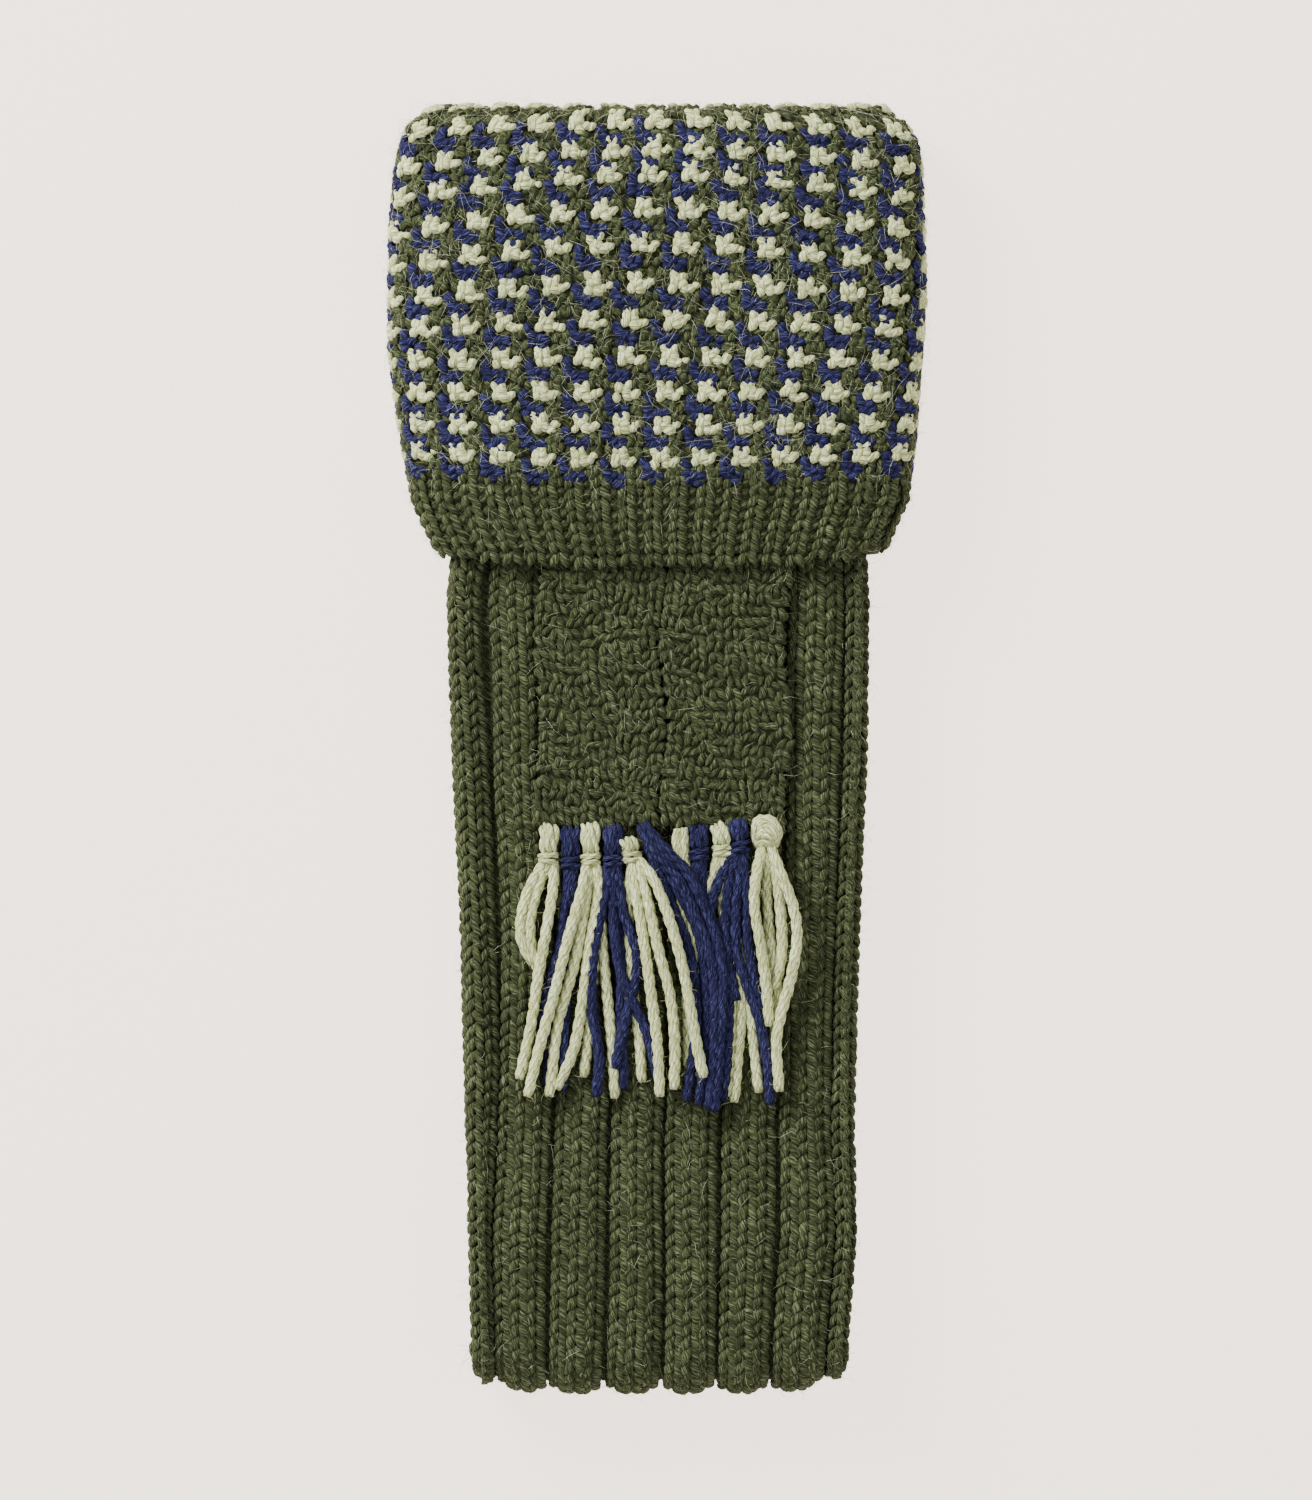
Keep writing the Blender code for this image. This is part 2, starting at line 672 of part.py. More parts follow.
def strand_path(knot_across, row):
    """Points of one strand of a lock, from inside its knot to its end."""
    end_across, length, bow, layer = row
    start = Vector((knot_across, TAB_BOTTOM - CLEARANCE - STRAND_START_SHARE * KNOT_LENGTH,
                    LAYERS_LEVEL + LAYER_STEP * layer))
    points = []
    for step in range(STRAND_STEPS + 1):
        share = step / STRAND_STEPS
        across = mix(knot_across, end_across, share) + bow * math.sin(math.pi * share)
        points.append(Vector((across, start.y - FRINGE_LENGTH * length * share, start.z)))
    return points


def strand_mesh(name, points, home):
    """A strand as a closed mesh, made from a bevelled curve."""
    curve = bpy.data.curves.new(name, "CURVE")
    curve.dimensions = "3D"
    curve.bevel_depth = STRAND_RADIUS
    curve.bevel_resolution = 1
    curve.use_fill_caps = True
    spline = curve.splines.new("POLY")
    spline.points.add(len(points) - 1)
    for spline_point, point in zip(spline.points, points):
        spline_point.co = (*point, 1.0)
    guide = bpy.data.objects.new(name + "_curve", curve)
    home.objects.link(guide)
    mesh = bpy.data.meshes.new_from_object(
        guide.evaluated_get(bpy.context.evaluated_depsgraph_get()))
    bpy.data.objects.remove(guide, do_unlink=True)
    mesh_edit = bmesh.new()
    mesh_edit.from_mesh(mesh)
    bmesh.ops.remove_doubles(mesh_edit, verts=mesh_edit.verts, dist=CLEARANCE / 30)
    bmesh.ops.recalc_face_normals(mesh_edit, faces=mesh_edit.faces)
    mesh_edit.to_mesh(mesh)
    mesh_edit.free()
    return mesh


def make_tassel(name, knot_across, strands, home, cutters, yarn):
    """A tassel: a knot below the garter's edge with its lock of strands fused on."""
    mesh_edit = bmesh.new()
    bmesh.ops.create_uvsphere(mesh_edit, u_segments=8, v_segments=5, radius=0.5)
    size = Vector((KNOT_WIDTH, KNOT_HEIGHT, KNOT_LENGTH))
    bmesh.ops.scale(mesh_edit, vec=size, verts=mesh_edit.verts)
    mesh = bpy.data.meshes.new(name)
    mesh_edit.to_mesh(mesh)
    mesh_edit.free()
    knot = add_object(name, mesh, yarn, home)
    knot.rotation_euler = (math.radians(90), 0, 0)
    knot.location = (knot_across, TAB_BOTTOM - CLEARANCE - KNOT_LENGTH / 2,
                     LEG_TOP + CLEARANCE + KNOT_HEIGHT / 2)
    for index, row in enumerate(strands, start=1):
        label = f"{name}_strand_{index}"
        strand = bpy.data.objects.new(label, strand_mesh(label, strand_path(knot_across, row),
                                                         cutters))
        strand.hide_render = True
        strand.display_type = "WIRE"
        cutters.objects.link(strand)
        fuse = knot.modifiers.new(label, "BOOLEAN")
        fuse.operation = "UNION"
        fuse.solver = "EXACT"
        fuse.object = strand
    return knot


def build():
    """Make the whole sock."""
    clear_scene()
    home = collection("field_sock")
    cutters = collection("strands")
    yarns = {
        "green": yarn_material("green_wool", GREEN_YARN),
        "cream": yarn_material("cream_wool", CREAM_YARN),
        "navy": yarn_material("navy_wool", NAVY_YARN),
    }
    make_leg(home, yarns["green"])
    make_foot(home, yarns["green"])
    make_heel(home, yarns["green"])
    make_toe(home, yarns["green"])
    make_cuff(home, yarns["cream"])
    make_border(home, yarns["green"])
    make_garter_band(home, yarns["green"])
    for name, side, split in TABS:
        make_garter_tab(name, side, split, home, yarns["green"])
    for name, colour, knot_across, strands in TASSELS:
        make_tassel(name, knot_across, strands, home, cutters, yarns[colour])


build()
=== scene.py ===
"""Looks of the knitted field sock: its yarn, materials, light and camera.

Every knitted face is made of short swells of yarn laid on the surface of its
piece, over a thin backing of the same wool. All sizes are in metres unless a
name ends in _MM.
"""

import math

import bpy
import numpy as np
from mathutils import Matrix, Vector


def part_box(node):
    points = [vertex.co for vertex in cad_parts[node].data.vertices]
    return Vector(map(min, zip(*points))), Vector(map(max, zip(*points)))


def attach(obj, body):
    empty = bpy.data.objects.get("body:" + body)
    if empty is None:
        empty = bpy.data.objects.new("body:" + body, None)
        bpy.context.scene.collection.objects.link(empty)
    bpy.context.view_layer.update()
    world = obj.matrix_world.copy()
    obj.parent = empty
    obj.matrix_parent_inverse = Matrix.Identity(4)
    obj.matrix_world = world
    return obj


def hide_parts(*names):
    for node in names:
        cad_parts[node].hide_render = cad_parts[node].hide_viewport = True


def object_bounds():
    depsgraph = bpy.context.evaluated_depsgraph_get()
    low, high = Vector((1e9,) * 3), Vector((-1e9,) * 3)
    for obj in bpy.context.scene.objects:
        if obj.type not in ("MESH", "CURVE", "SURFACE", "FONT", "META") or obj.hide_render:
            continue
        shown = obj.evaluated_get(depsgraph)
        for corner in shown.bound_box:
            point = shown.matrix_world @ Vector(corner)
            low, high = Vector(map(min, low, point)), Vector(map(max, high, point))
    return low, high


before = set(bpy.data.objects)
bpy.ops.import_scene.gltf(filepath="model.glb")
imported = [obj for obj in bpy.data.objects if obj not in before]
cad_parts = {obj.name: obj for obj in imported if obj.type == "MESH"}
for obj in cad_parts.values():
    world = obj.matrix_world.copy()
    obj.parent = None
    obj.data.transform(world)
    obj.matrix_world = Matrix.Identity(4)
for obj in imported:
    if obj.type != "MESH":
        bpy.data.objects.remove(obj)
CAD_LOW, CAD_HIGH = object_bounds()

MM = 0.001

# Sizes read from the frame
CUFF_LOW, CUFF_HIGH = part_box("cuff")
BORDER_LOW, BORDER_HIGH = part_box("cuff_border")
TOE_LOW, TOE_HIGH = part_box("toe")
FOOT_LOW, FOOT_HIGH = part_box("foot")
TAB_LEFT_LOW, TAB_LEFT_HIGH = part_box("garter_tab_left")
TAB_RIGHT_LOW, TAB_RIGHT_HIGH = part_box("garter_tab_right")

# Sizes of the sock, as its solids have them
LEG_WIDTH = 106.8 * MM
LEG_WALL = 3.0 * MM
LEG_HOLLOW = 5.0 * MM
ANKLE_HOLLOW = 2.5 * MM
MOUTH_HOLLOW = 8.0 * MM
MOUTH_DROP = 1.5 * MM
FOOT_WIDTH = 88.0 * MM
FOOT_THICKNESS = TOE_HIGH.z - TOE_LOW.z
HEEL_SPACE = 5.3 * MM
HEEL_WALL = 1.9 * MM
HEEL_HOLLOW = 0.9 * MM
HEEL_REACH = 26.5 * MM
HEEL_CORNER_SHARE = 0.93
SKIN_GAP = 0.3 * MM
FLOOR_GAP = 0.03 * MM
YARN_RISE = 1.5 * MM
CUFF_WIDTH = CUFF_HIGH.x - CUFF_LOW.x
CUFF_THICKNESS = CUFF_HIGH.z - CUFF_LOW.z
CUFF_WALL = 3.2 * MM
LIP_DEPTH = 12.0 * MM
LEG_LEVEL = CUFF_THICKNESS / 2
LEG_TOP = TAB_LEFT_LOW.z - SKIN_GAP
ANKLE_THICKNESS = ANKLE_HOLLOW + 2 * LEG_WALL
ANKLE_LEVEL = FOOT_THICKNESS + HEEL_SPACE + ANKLE_THICKNESS / 2
CUFF_TOP = CUFF_HIGH.y
ROLL_TOP = CUFF_TOP - YARN_RISE
LEG_START = CUFF_TOP - LIP_DEPTH - SKIN_GAP
FOLD_RADIUS = (ANKLE_LEVEL - FOOT_THICKNESS / 2) / 2
FOLD_LEVEL = (ANKLE_LEVEL + FOOT_THICKNESS / 2) / 2
FOLD_HALF = (ANKLE_THICKNESS + FOOT_THICKNESS) / 4
FOLD_Y = CAD_LOW.y + FOLD_RADIUS + FOLD_HALF
STRAIGHT = LEG_START - FOLD_Y
FOLD_ARC = math.pi * (FOLD_RADIUS + FOLD_HALF)
RIBS = 16

# Leg sections: share down, width and drift as shares of the leg's width, mouth
# and ankle
LEG_ROWS = np.array((
    (0.000, 1.034, 0.006, 0.55, 0.00),
    (0.090, 1.021, 0.006, 0.15, 0.00),
    (0.224, 1.005, 0.004, 0.00, 0.00),
    (0.334, 0.985, 0.004, 0.00, 0.00),
    (0.375, 1.000, 0.002, 0.00, 0.00),
    (0.508, 0.983, 0.006, 0.00, 0.00),
    (0.641, 0.948, 0.007, 0.00, 0.00),
    (0.814, 0.923, 0.006, 0.00, 0.00),
    (0.858, 0.917, 0.010, 0.00, 0.50),
    (0.900, 0.912, 0.013, 0.00, 1.00),
    (1.000, 0.884, 0.006, 0.00, 1.00),
))
# Foot sections after the fold: share along and width
FOOT_ROWS = np.array((
    (0.00, 1.050),
    (0.10, 1.020),
    (0.30, 0.990),
    (0.60, 1.000),
    (1.00, 1.000),
))
# Toe sections: share along, width, thickness
TOE_ROWS = np.array((
    (0.00, 1.00, 1.00),
    (0.35, 0.96, 1.00),
    (0.65, 0.83, 0.95),
    (0.86, 0.62, 0.85),
    (1.00, 0.34, 0.70),
))
# Cuff sections: share up, width, thickness, drift, as shares of the cuff's
CUFF_ROWS = np.array((
    (0.000, 0.934, 0.970, 0.006),
    (0.102, 0.958, 0.985, 0.004),
    (0.210, 0.974, 1.000, 0.001),
    (0.342, 0.994, 1.000, -0.001),
    (0.503, 1.000, 1.000, 0.002),
    (0.663, 0.995, 1.000, 0.000),
    (0.824, 0.983, 0.970, 0.003),
    (0.904, 0.964, 0.930, 0.004),
    (0.957, 0.924, 0.870, 0.001),
    (0.986, 0.874, 0.800, 0.001),
))
# Border sections: share down, width, thickness, drift
BORDER_ROWS = np.array((
    (0.00, 0.936, 0.970, 0.006),
    (0.28, 0.926, 0.968, 0.007),
    (0.64, 0.880, 0.950, 0.006),
    (0.88, 0.848, 0.930, 0.008),
    (1.00, 0.827, 0.905, 0.009),
))
CUFF_ROUNDNESS = 4.0
FOLD_CORNER = 4.5 * MM
RIB_DEPTH = 2.5 * MM

# Knitting gauge
ROW_PITCH = 3.25 * MM
BORDER_ROW_PITCH = 2.8 * MM
BORDER_RIB = 6.6 * MM
BORDER_SAG = 2.2 * MM
BORDER_CORNER = 2.4 * MM
CELL_WIDTH = 10.75 * MM

# Rows of stars down the cuff: millimetres from its top in the middle, and how
# much lower the row lies at the cuff's edges
STAR_ROWS = (
    (3.6, 2.8),
    (10.4, 5.0),
    (16.8, 6.2),
    (25.8, 5.6),
    (34.6, 5.0),
    (44.4, 3.8),
    (53.4, 2.6),
    (62.6, 1.0),
    (71.4, 0.2),
    (79.6, -0.6),
    (88.0, -2.0),
)
STAR_SLANT = 1.0 * MM
GREEN, CREAM, NAVY, FUZZ = 0, 1, 2, 3


class Yarn:
    """Joined swells and tubes of yarn that become one mesh."""

    def __init__(self):
        self.points, self.plies, self.tones = [], [], []
        self.quads, self.tris = [], []
        self.quad_slots, self.tri_slots = [], []
        self.count = 0

    def add(self, points, plies, tones, quads, tris, slots_q, slots_t):
        """Add vertices with their yarn coordinates, and faces that index them.

        The coordinates are millimetres along the yarn, the angle round it, and
        a number that differs from one length of yarn to the next.
        """
        self.points.append(points)
        self.plies.append(plies)
        self.tones.append(tones)
        self.quads.append(quads + self.count)
        self.tris.append(tris + self.count)
        self.quad_slots.append(slots_q)
        self.tri_slots.append(slots_t)
        self.count += len(points)

    def make(self, name, materials):
        """The mesh object of everything added."""
        points = np.concatenate(self.points)
        points[:, 2] = np.maximum(points[:, 2], CAD_LOW.z + FLOOR_GAP)
        quads = np.concatenate(self.quads).reshape(-1, 4)
        tris = np.concatenate(self.tris).reshape(-1, 3)
        mesh = bpy.data.meshes.new(name)
        mesh.vertices.add(len(points))
        mesh.vertices.foreach_set("co", points.astype(np.float32).ravel())
        loops = np.concatenate((quads.ravel(), tris.ravel())).astype(np.int32)
        mesh.loops.add(len(loops))
        mesh.loops.foreach_set("vertex_index", loops)
        starts = np.concatenate((np.arange(len(quads)) * 4,
                                 len(quads) * 4 + np.arange(len(tris)) * 3))
        mesh.polygons.add(len(starts))
        mesh.polygons.foreach_set("loop_start", starts.astype(np.int32))
        slots = np.concatenate(self.quad_slots + self.tri_slots).astype(np.int32)
        mesh.polygons.foreach_set("material_index", slots)
        mesh.polygons.foreach_set("use_smooth", np.ones(len(starts), bool))
        mesh.update(calc_edges=True)
        ply = mesh.attributes.new("ply", "FLOAT_VECTOR", "POINT")
        ply.data.foreach_set("vector", np.concatenate(self.plies).astype(np.float32).ravel())
        tone = mesh.attributes.new("tone", "FLOAT", "POINT")
        tone.data.foreach_set("value", np.concatenate(self.tones).astype(np.float32))
        mesh.validate()
        made = bpy.data.objects.new(name, mesh)
        for material in materials:
            made.data.materials.append(material)
        bpy.context.scene.collection.objects.link(made)
        return made


SWELL_RINGS = {
    4: ((-0.84, 0.46), (-0.32, 0.97), (0.32, 0.97), (0.84, 0.46)),
    3: ((-0.75, 0.62), (0.0, 1.0), (0.75, 0.62)),
}


def round_angles(sides):
    """Angles round a length of yarn, with its seam underneath."""
    return 2 * np.pi * (np.arange(sides) + 0.5) / sides - np.pi / 2


def swell_faces(rings, sides):
    """Quads and triangles of one swell: rings of sides, then its two tips."""
    quads, tris = [], []
    tip_a, tip_b = rings * sides, rings * sides + 1
    for side in range(sides):
        after = (side + 1) % sides
        for ring in range(rings - 1):
            low, high = ring * sides, (ring + 1) * sides
            quads.append((low + side, low + after, high + after, high + side))
        last = (rings - 1) * sides
        tris.append((tip_a, after, side))
        tris.append((tip_b, last + side, last + after))
    return np.array(quads), np.array(tris)


def add_swells(yarn, rng, centre, along, across, out, length, width, thick,
               arch=0.0, lean=0.0, slot=GREEN, sides=6, rings=4, tone=None):
    """Add many swells of yarn: centres and axes are (n, 3), sizes (n,) or one."""
    count = len(centre)
    if count == 0:
        return
    length, width, thick, arch, lean = (np.broadcast_to(value, count).astype(float)
                                        for value in (length, width, thick, arch, lean))
    table = np.array(SWELL_RINGS[rings])
    angles = round_angles(sides)
    t = np.concatenate((np.repeat(table[:, 0], sides), (-1.0, 1.0)))
    f = np.concatenate((np.repeat(table[:, 1], sides), (0.0, 0.0)))
    angle = np.concatenate((np.tile(angles, rings), (np.pi / 2, np.pi / 2)))
    u = t[None, :] * length[:, None] / 2
    v = f * np.cos(angle) * width[:, None] / 2
    w = f * np.sin(angle) * thick[:, None] / 2
    rise = w - arch[:, None] * t[None, :] ** 2 - lean[:, None] * t[None, :]
    points = (centre[:, None, :] + along[:, None, :] * u[..., None]
              + across[:, None, :] * v[..., None] + out[:, None, :] * rise[..., None])
    seed = np.broadcast_to(rng.uniform(0, 400, (count, 1)), u.shape)
    plies = np.stack((u / MM, np.broadcast_to(angle, u.shape), seed), axis=-1)
    if tone is None:
        tone = rng.normal(0.0, 1.0, count)
    tones = np.repeat(tone, points.shape[1])
    quads, tris = swell_faces(rings, sides)
    step = (np.arange(count) * points.shape[1])[:, None, None]
    all_quads, all_tris = (quads[None] + step).reshape(-1, 4), (tris[None] + step).reshape(-1, 3)
    slots = np.broadcast_to(slot, count)
    yarn.add(points.reshape(-1, 3), plies.reshape(-1, 3), tones, all_quads, all_tris,
             np.repeat(slots, len(quads)), np.repeat(slots, len(tris)))


def unit(vectors):
    """Vectors of length one."""
    return vectors / np.maximum(np.linalg.norm(vectors, axis=-1, keepdims=True), 1e-12)


def smooth_route(points, step):
    """A smooth line through given points, at even steps."""
    points = np.array(points, float)
    padded = np.vstack((2 * points[0] - points[1], points, 2 * points[-1] - points[-2]))
    t = np.linspace(0, 1, 12, endpoint=False)[:, None]
    pieces = []
    for a, b, c, d in zip(padded, padded[1:], padded[2:], padded[3:]):
        pieces.append(0.5 * (2 * b + (c - a) * t + (2 * a - 5 * b + 4 * c - d) * t ** 2
                             + (3 * b - a - 3 * c + d) * t ** 3))
    line = np.vstack((*pieces, points[-1]))
    run = np.concatenate(((0.0,), np.cumsum(np.linalg.norm(np.diff(line, axis=0), axis=1))))
    wanted = np.linspace(0, run[-1], max(3, round(run[-1] / step) + 1))
    return np.column_stack([np.interp(wanted, run, line[:, k]) for k in range(3)])


def route_frame(line):
    """Sideways and upward directions along a route that lies roughly flat."""
    run = unit(np.gradient(line, axis=0))
    side = unit(np.cross(run, np.array((0.0, 0.0, 1.0))))
    return side, np.cross(side, run)


def add_tube(yarn, rng, line, radius, slot, sides=6, tone=0.0):
    """One closed tube of yarn along a line, drawn to a point at its ends."""
    count = len(line)
    side, up = route_frame(line)
    angles = round_angles(sides)
    run = np.concatenate(((0.0,), np.cumsum(np.linalg.norm(np.diff(line, axis=0), axis=1))))
    radius = np.broadcast_to(radius, count)
    rings = (line[:, None, :] + side[:, None, :] * (np.cos(angles) * radius[:, None])[..., None]
             + up[:, None, :] * (np.sin(angles) * radius[:, None])[..., None])
    points = np.vstack((rings.reshape(-1, 3), line[0], line[-1]))
    seed = rng.uniform(0, 400)
    plies = np.column_stack((np.append(np.repeat(run, sides), (0.0, run[-1])) / MM,
                             np.append(np.tile(angles, count), (np.pi / 2, np.pi / 2)),
                             np.full(len(points), seed)))
    quads, tris = swell_faces(count, sides)
    yarn.add(points, plies, np.full(len(points), tone), quads[:, ::-1], tris[:, ::-1],
             np.full(len(quads), slot), np.full(len(tris), slot))


def add_strand(yarn, rng, route, radius, slot, plies=3, pitch=11 * MM, step=1.1 * MM):
    """A plied strand: thin yarns wound round each other along a route."""
    line = smooth_route(route, step)
    side, up = route_frame(line)
    run = np.concatenate(((0.0,), np.cumsum(np.linalg.norm(np.diff(line, axis=0), axis=1))))
    start = rng.uniform(0, 2 * np.pi)
    ends = np.clip(np.minimum(run, run[-1] - run) / (1.2 * MM), 0.55, 1)
    for ply in range(plies):
        turn = start + 2 * np.pi * (ply / plies + run / pitch)
        offset = radius * 0.43 * (1 + 0.08 * np.sin(run / (5 * MM) + start))
        wound = (line + side * (np.cos(turn) * offset)[:, None]
                 + up * (np.sin(turn) * offset)[:, None])
        tone = rng.normal(0.6 if slot == CREAM else 0.0, 0.8)
        add_tube(yarn, rng, wound, radius * 0.61 * ends, slot, tone=tone)


def add_hairs(yarn, rng, centre, side, run, out, length, lift, slot=FUZZ, radius=0.032 * MM):
    """Loose fibres: thin spikes that bow over the surface from each place."""
    count = len(centre)
    if count == 0:
        return
    heading = rng.uniform(0, 2 * np.pi, count)
    bend = rng.normal(0, 0.45, count)
    size = length * np.minimum(rng.lognormal(0, 0.45, count), 2.0)
    rise = lift * np.abs(rng.normal(0, 1, count))

    def way(angle):
        return side * np.cos(angle)[:, None] + run * np.sin(angle)[:, None]

    first = centre - out * (0.3 * MM)
    middle = centre + way(heading) * (size * 0.5)[:, None] + out * rise[:, None]
    tip = middle + way(heading + bend) * (size * 0.5)[:, None]
    tip = tip + out * (rise * rng.uniform(-0.6, 0.8, count))[:, None]
    across = way(heading + np.pi / 2) * radius
    above = out * radius
    triangle = [(math.cos(a), math.sin(a)) for a in (math.pi / 2, math.pi * 7 / 6, math.pi * 11 / 6)]
    points = [place + across * c + above * s for place in (first, middle) for c, s in triangle]
    points = np.stack(points + [tip], axis=1).reshape(-1, 3)
    step = (np.arange(count) * 7)[:, None, None]
    quads = np.array(((0, 1, 4, 3), (1, 2, 5, 4), (2, 0, 3, 5)))[None] + step
    tris = np.array(((0, 2, 1), (3, 4, 6), (4, 5, 6), (5, 3, 6)))[None] + step
    plies = np.zeros((len(points), 3))
    plies[:, 2] = np.repeat(rng.uniform(0, 400, count), 7)
    yarn.add(points, plies, np.repeat(rng.normal(1.5, 1.5, count), 7), quads.reshape(-1, 4),
             tris.reshape(-1, 3), np.full(count * 3, slot), np.full(count * 4, slot))


def scatter_hairs(yarn, rng, surface, across_range, along_range, count, length=4.5 * MM,
                  lift=0.9 * MM, slot=FUZZ):
    """Loose fibres over part of a surface."""
    across = rng.uniform(*across_range, count)
    along = rng.uniform(*along_range, count)
    add_hairs(yarn, rng, *surface_frame(surface, across, along), length, lift, slot)


def surface_frame(surface, across, along):
    """Points of a surface with its directions across, along and out."""
    step_a, step_b = 1e-3, 0.2 * MM
    centre = surface(across, along)
    side = unit(surface(across + step_a, along) - surface(across - step_a, along))
    run = unit(surface(across, along + step_b) - surface(across, along - step_b))
    out = unit(np.cross(side, run))
    return centre, side, run, out


def turned(along, across, angle):
    """A direction turned from along towards across, with its own across."""
    cosine, sine = np.cos(angle)[:, None], np.sin(angle)[:, None]
    return along * cosine + across * sine, across * cosine - along * sine


def add_knit(yarn, rng, surface, across, along, wale_width, pitch, slot=GREEN, sides=6, rings=4,
             tip_up=True, width_share=1.02, lift=0.0, tone=None):
    """Knit stitches: two leaning swells each, at places on a surface."""
    count = len(across)
    if count == 0:
        return
    wobble = rng.normal(0, 0.035, count)
    for side in (-1, 1):
        centre, cross, run, out = surface_frame(surface, across, along)
        lean = side * (0.44 if tip_up else -0.44) + wobble + rng.normal(0, 0.08, count)
        axis, breadth = turned(run, -cross, lean)
        place = (centre + cross * (side * wale_width * 0.245)
                 + run * rng.normal(0, 0.03, count)[:, None] * pitch
                 + out * (lift - 0.35 * MM + rng.normal(0, 0.07 * MM, count))[:, None])
        add_swells(yarn, rng, place, axis, breadth, out,
                   pitch * rng.normal(1.66, 0.06, count), wale_width * 0.5 * width_share,
                   1.75 * MM, arch=0.50 * MM, lean=0.22 * MM * (1 if tip_up else -1),
                   slot=slot, sides=sides, rings=rings,
                   tone=None if tone is None else tone + rng.normal(0, 1.0, count))


def add_purl(yarn, rng, surface, across, along, width, height, slot=GREEN, sides=6, rings=4,
             lift=0.0, tone=None, tilt=0.0):
    """Purl bumps: one level swell each, bowed up in the middle."""
    count = len(across)
    if count == 0:
        return
    centre, cross, run, out = surface_frame(surface, across, along)
    axis, breadth = turned(cross, run, tilt + rng.normal(0, 0.12, count))
    place = centre + out * (lift - 0.2 * MM + rng.normal(0, 0.06 * MM, count))[:, None]
    add_swells(yarn, rng, place, axis, breadth, out, width, height, 1.5 * MM,
               arch=0.55 * MM, slot=slot, sides=sides, rings=rings, tone=tone)


def add_backing(yarn, surface, across, along, sunk, wall, wrap, slot=GREEN, out_sunk=None):
    """A thin closed wall under the stitches, from a grid of places on a surface. Its low tone makes it darker:
    painted shade in the gaps between the stitches.
    """
    grid_a, grid_b = np.meshgrid(across, along)
    centre, _, _, out = surface_frame(surface, grid_a.ravel(), grid_b.ravel())
    depth = sunk if out_sunk is None else out_sunk(grid_a.ravel(), grid_b.ravel())
    top = centre - out * np.broadcast_to(depth, len(centre))[:, None]
    bottom = centre - out * wall
    rows, columns = len(along), len(across)
    points = np.concatenate((top, bottom))
    quads = []
    total = rows * columns
    span = columns if wrap else columns - 1
    for row in range(rows - 1):
        for column in range(span):
            after = (column + 1) % columns
            a, b = row * columns + column, row * columns + after
            c, d = b + columns, a + columns
            quads.append((a, b, c, d))
            quads.append((a + total, d + total, c + total, b + total))
    for column in range(span):
        after = (column + 1) % columns
        first, last = column, (rows - 1) * columns + column
        first_b, last_b = after, (rows - 1) * columns + after
        quads.append((first, first + total, first_b + total, first_b))
        quads.append((last, last_b, last_b + total, last + total))
    if not wrap:
        for row in range(rows - 1):
            a, b = row * columns, (row + 1) * columns
            c, d = a + columns - 1, b + columns - 1
            quads.append((a, b, b + total, a + total))
            quads.append((c, c + total, d + total, d))
    quads = np.array(quads)
    # The low tone of -2.5 is painted shade between the stitches.
    yarn.add(points, points[:, (0, 1, 2)] / MM, np.full(len(points), -2.5), quads,
             np.zeros((0, 3), int), np.full(len(quads), slot), np.zeros(0, int))


# Surfaces

RING_AT = np.array((0, 6, 6.07, 7, 7.82, 8, 14, 14.18, 15, 15.65, 16))
RING_LEG = np.array((-0.895, 0.985, 1, 1, 1, 0.96, -0.96, -1, -1, -1, -0.895))
RING_ANKLE = np.array((-0.96, 0.98, 1, 1, 1, 0.96, -0.96, -1, -1, -1, -0.96))
RING_ANGLE = np.radians((90, 90, 90, 0, -90, -90, -90, -90, -180, -270, -270))
ANKLE_FROM, ANKLE_TO = 0.76, 0.90


def flat_ring(q, half_width, half_thick, sunk, ankle):
    """Across and rise of places round a flattened tube, in ribs from 0 to 16."""
    around = np.mod(q, RIBS)
    place = np.interp(around, RING_AT, RING_LEG) * (1 - ankle)
    place += np.interp(around, RING_AT, RING_ANKLE) * ankle
    angle = np.interp(around, RING_AT, RING_ANGLE)
    reach = half_thick - sunk
    return (place * (half_width - half_thick) + reach * np.cos(angle), reach * np.sin(angle))


def rib_sink(q, depth):
    """How far a rib falls away from its crest towards the grooves beside it."""
    return depth * np.abs(2 * np.mod(q, 1.0) - 1) ** 2.0


def leg_path(s):
    """Half width, half thickness, middle, centre and facing along the sock."""
    down = np.clip(s / STRAIGHT, 0, 1)
    width, drift, mouth, ankle = (np.interp(down, LEG_ROWS[:, 0], LEG_ROWS[:, k])
                                  for k in range(1, 5))
    hollow = LEG_HOLLOW + (MOUTH_HOLLOW - LEG_HOLLOW) * mouth
    hollow += (ANKLE_HOLLOW - hollow) * ankle
    level = (LEG_LEVEL - MOUTH_DROP * mouth) * (1 - ankle) + ANKLE_LEVEL * ankle
    share = np.clip((s - STRAIGHT) / FOLD_ARC, 0, 1)
    eased = share * share * (3 - 2 * share)
    foot_run = FOOT_HIGH.y - FOLD_Y
    along = np.clip((s - STRAIGHT - FOLD_ARC) / foot_run, 0, 1)
    foot_half = FOOT_WIDTH * np.interp(along, FOOT_ROWS[:, 0], FOOT_ROWS[:, 1]) / 2
    half_width = LEG_WIDTH * width / 2 * (1 - eased) + foot_half * eased
    half_thick = (hollow / 2 + LEG_WALL) * (1 - share) + FOOT_THICKNESS / 2 * share
    middle = LEG_WIDTH * drift * (1 - eased)
    turn = np.pi * share
    y = LEG_START - np.clip(s, None, STRAIGHT) - FOLD_RADIUS * np.sin(turn)
    y = y + np.clip(s - STRAIGHT - FOLD_ARC, 0, None)
    straight_level = np.where(share > 0, FOLD_LEVEL + FOLD_RADIUS * np.cos(turn), level)
    return half_width, half_thick, middle, y, straight_level, -np.sin(turn), np.cos(turn)


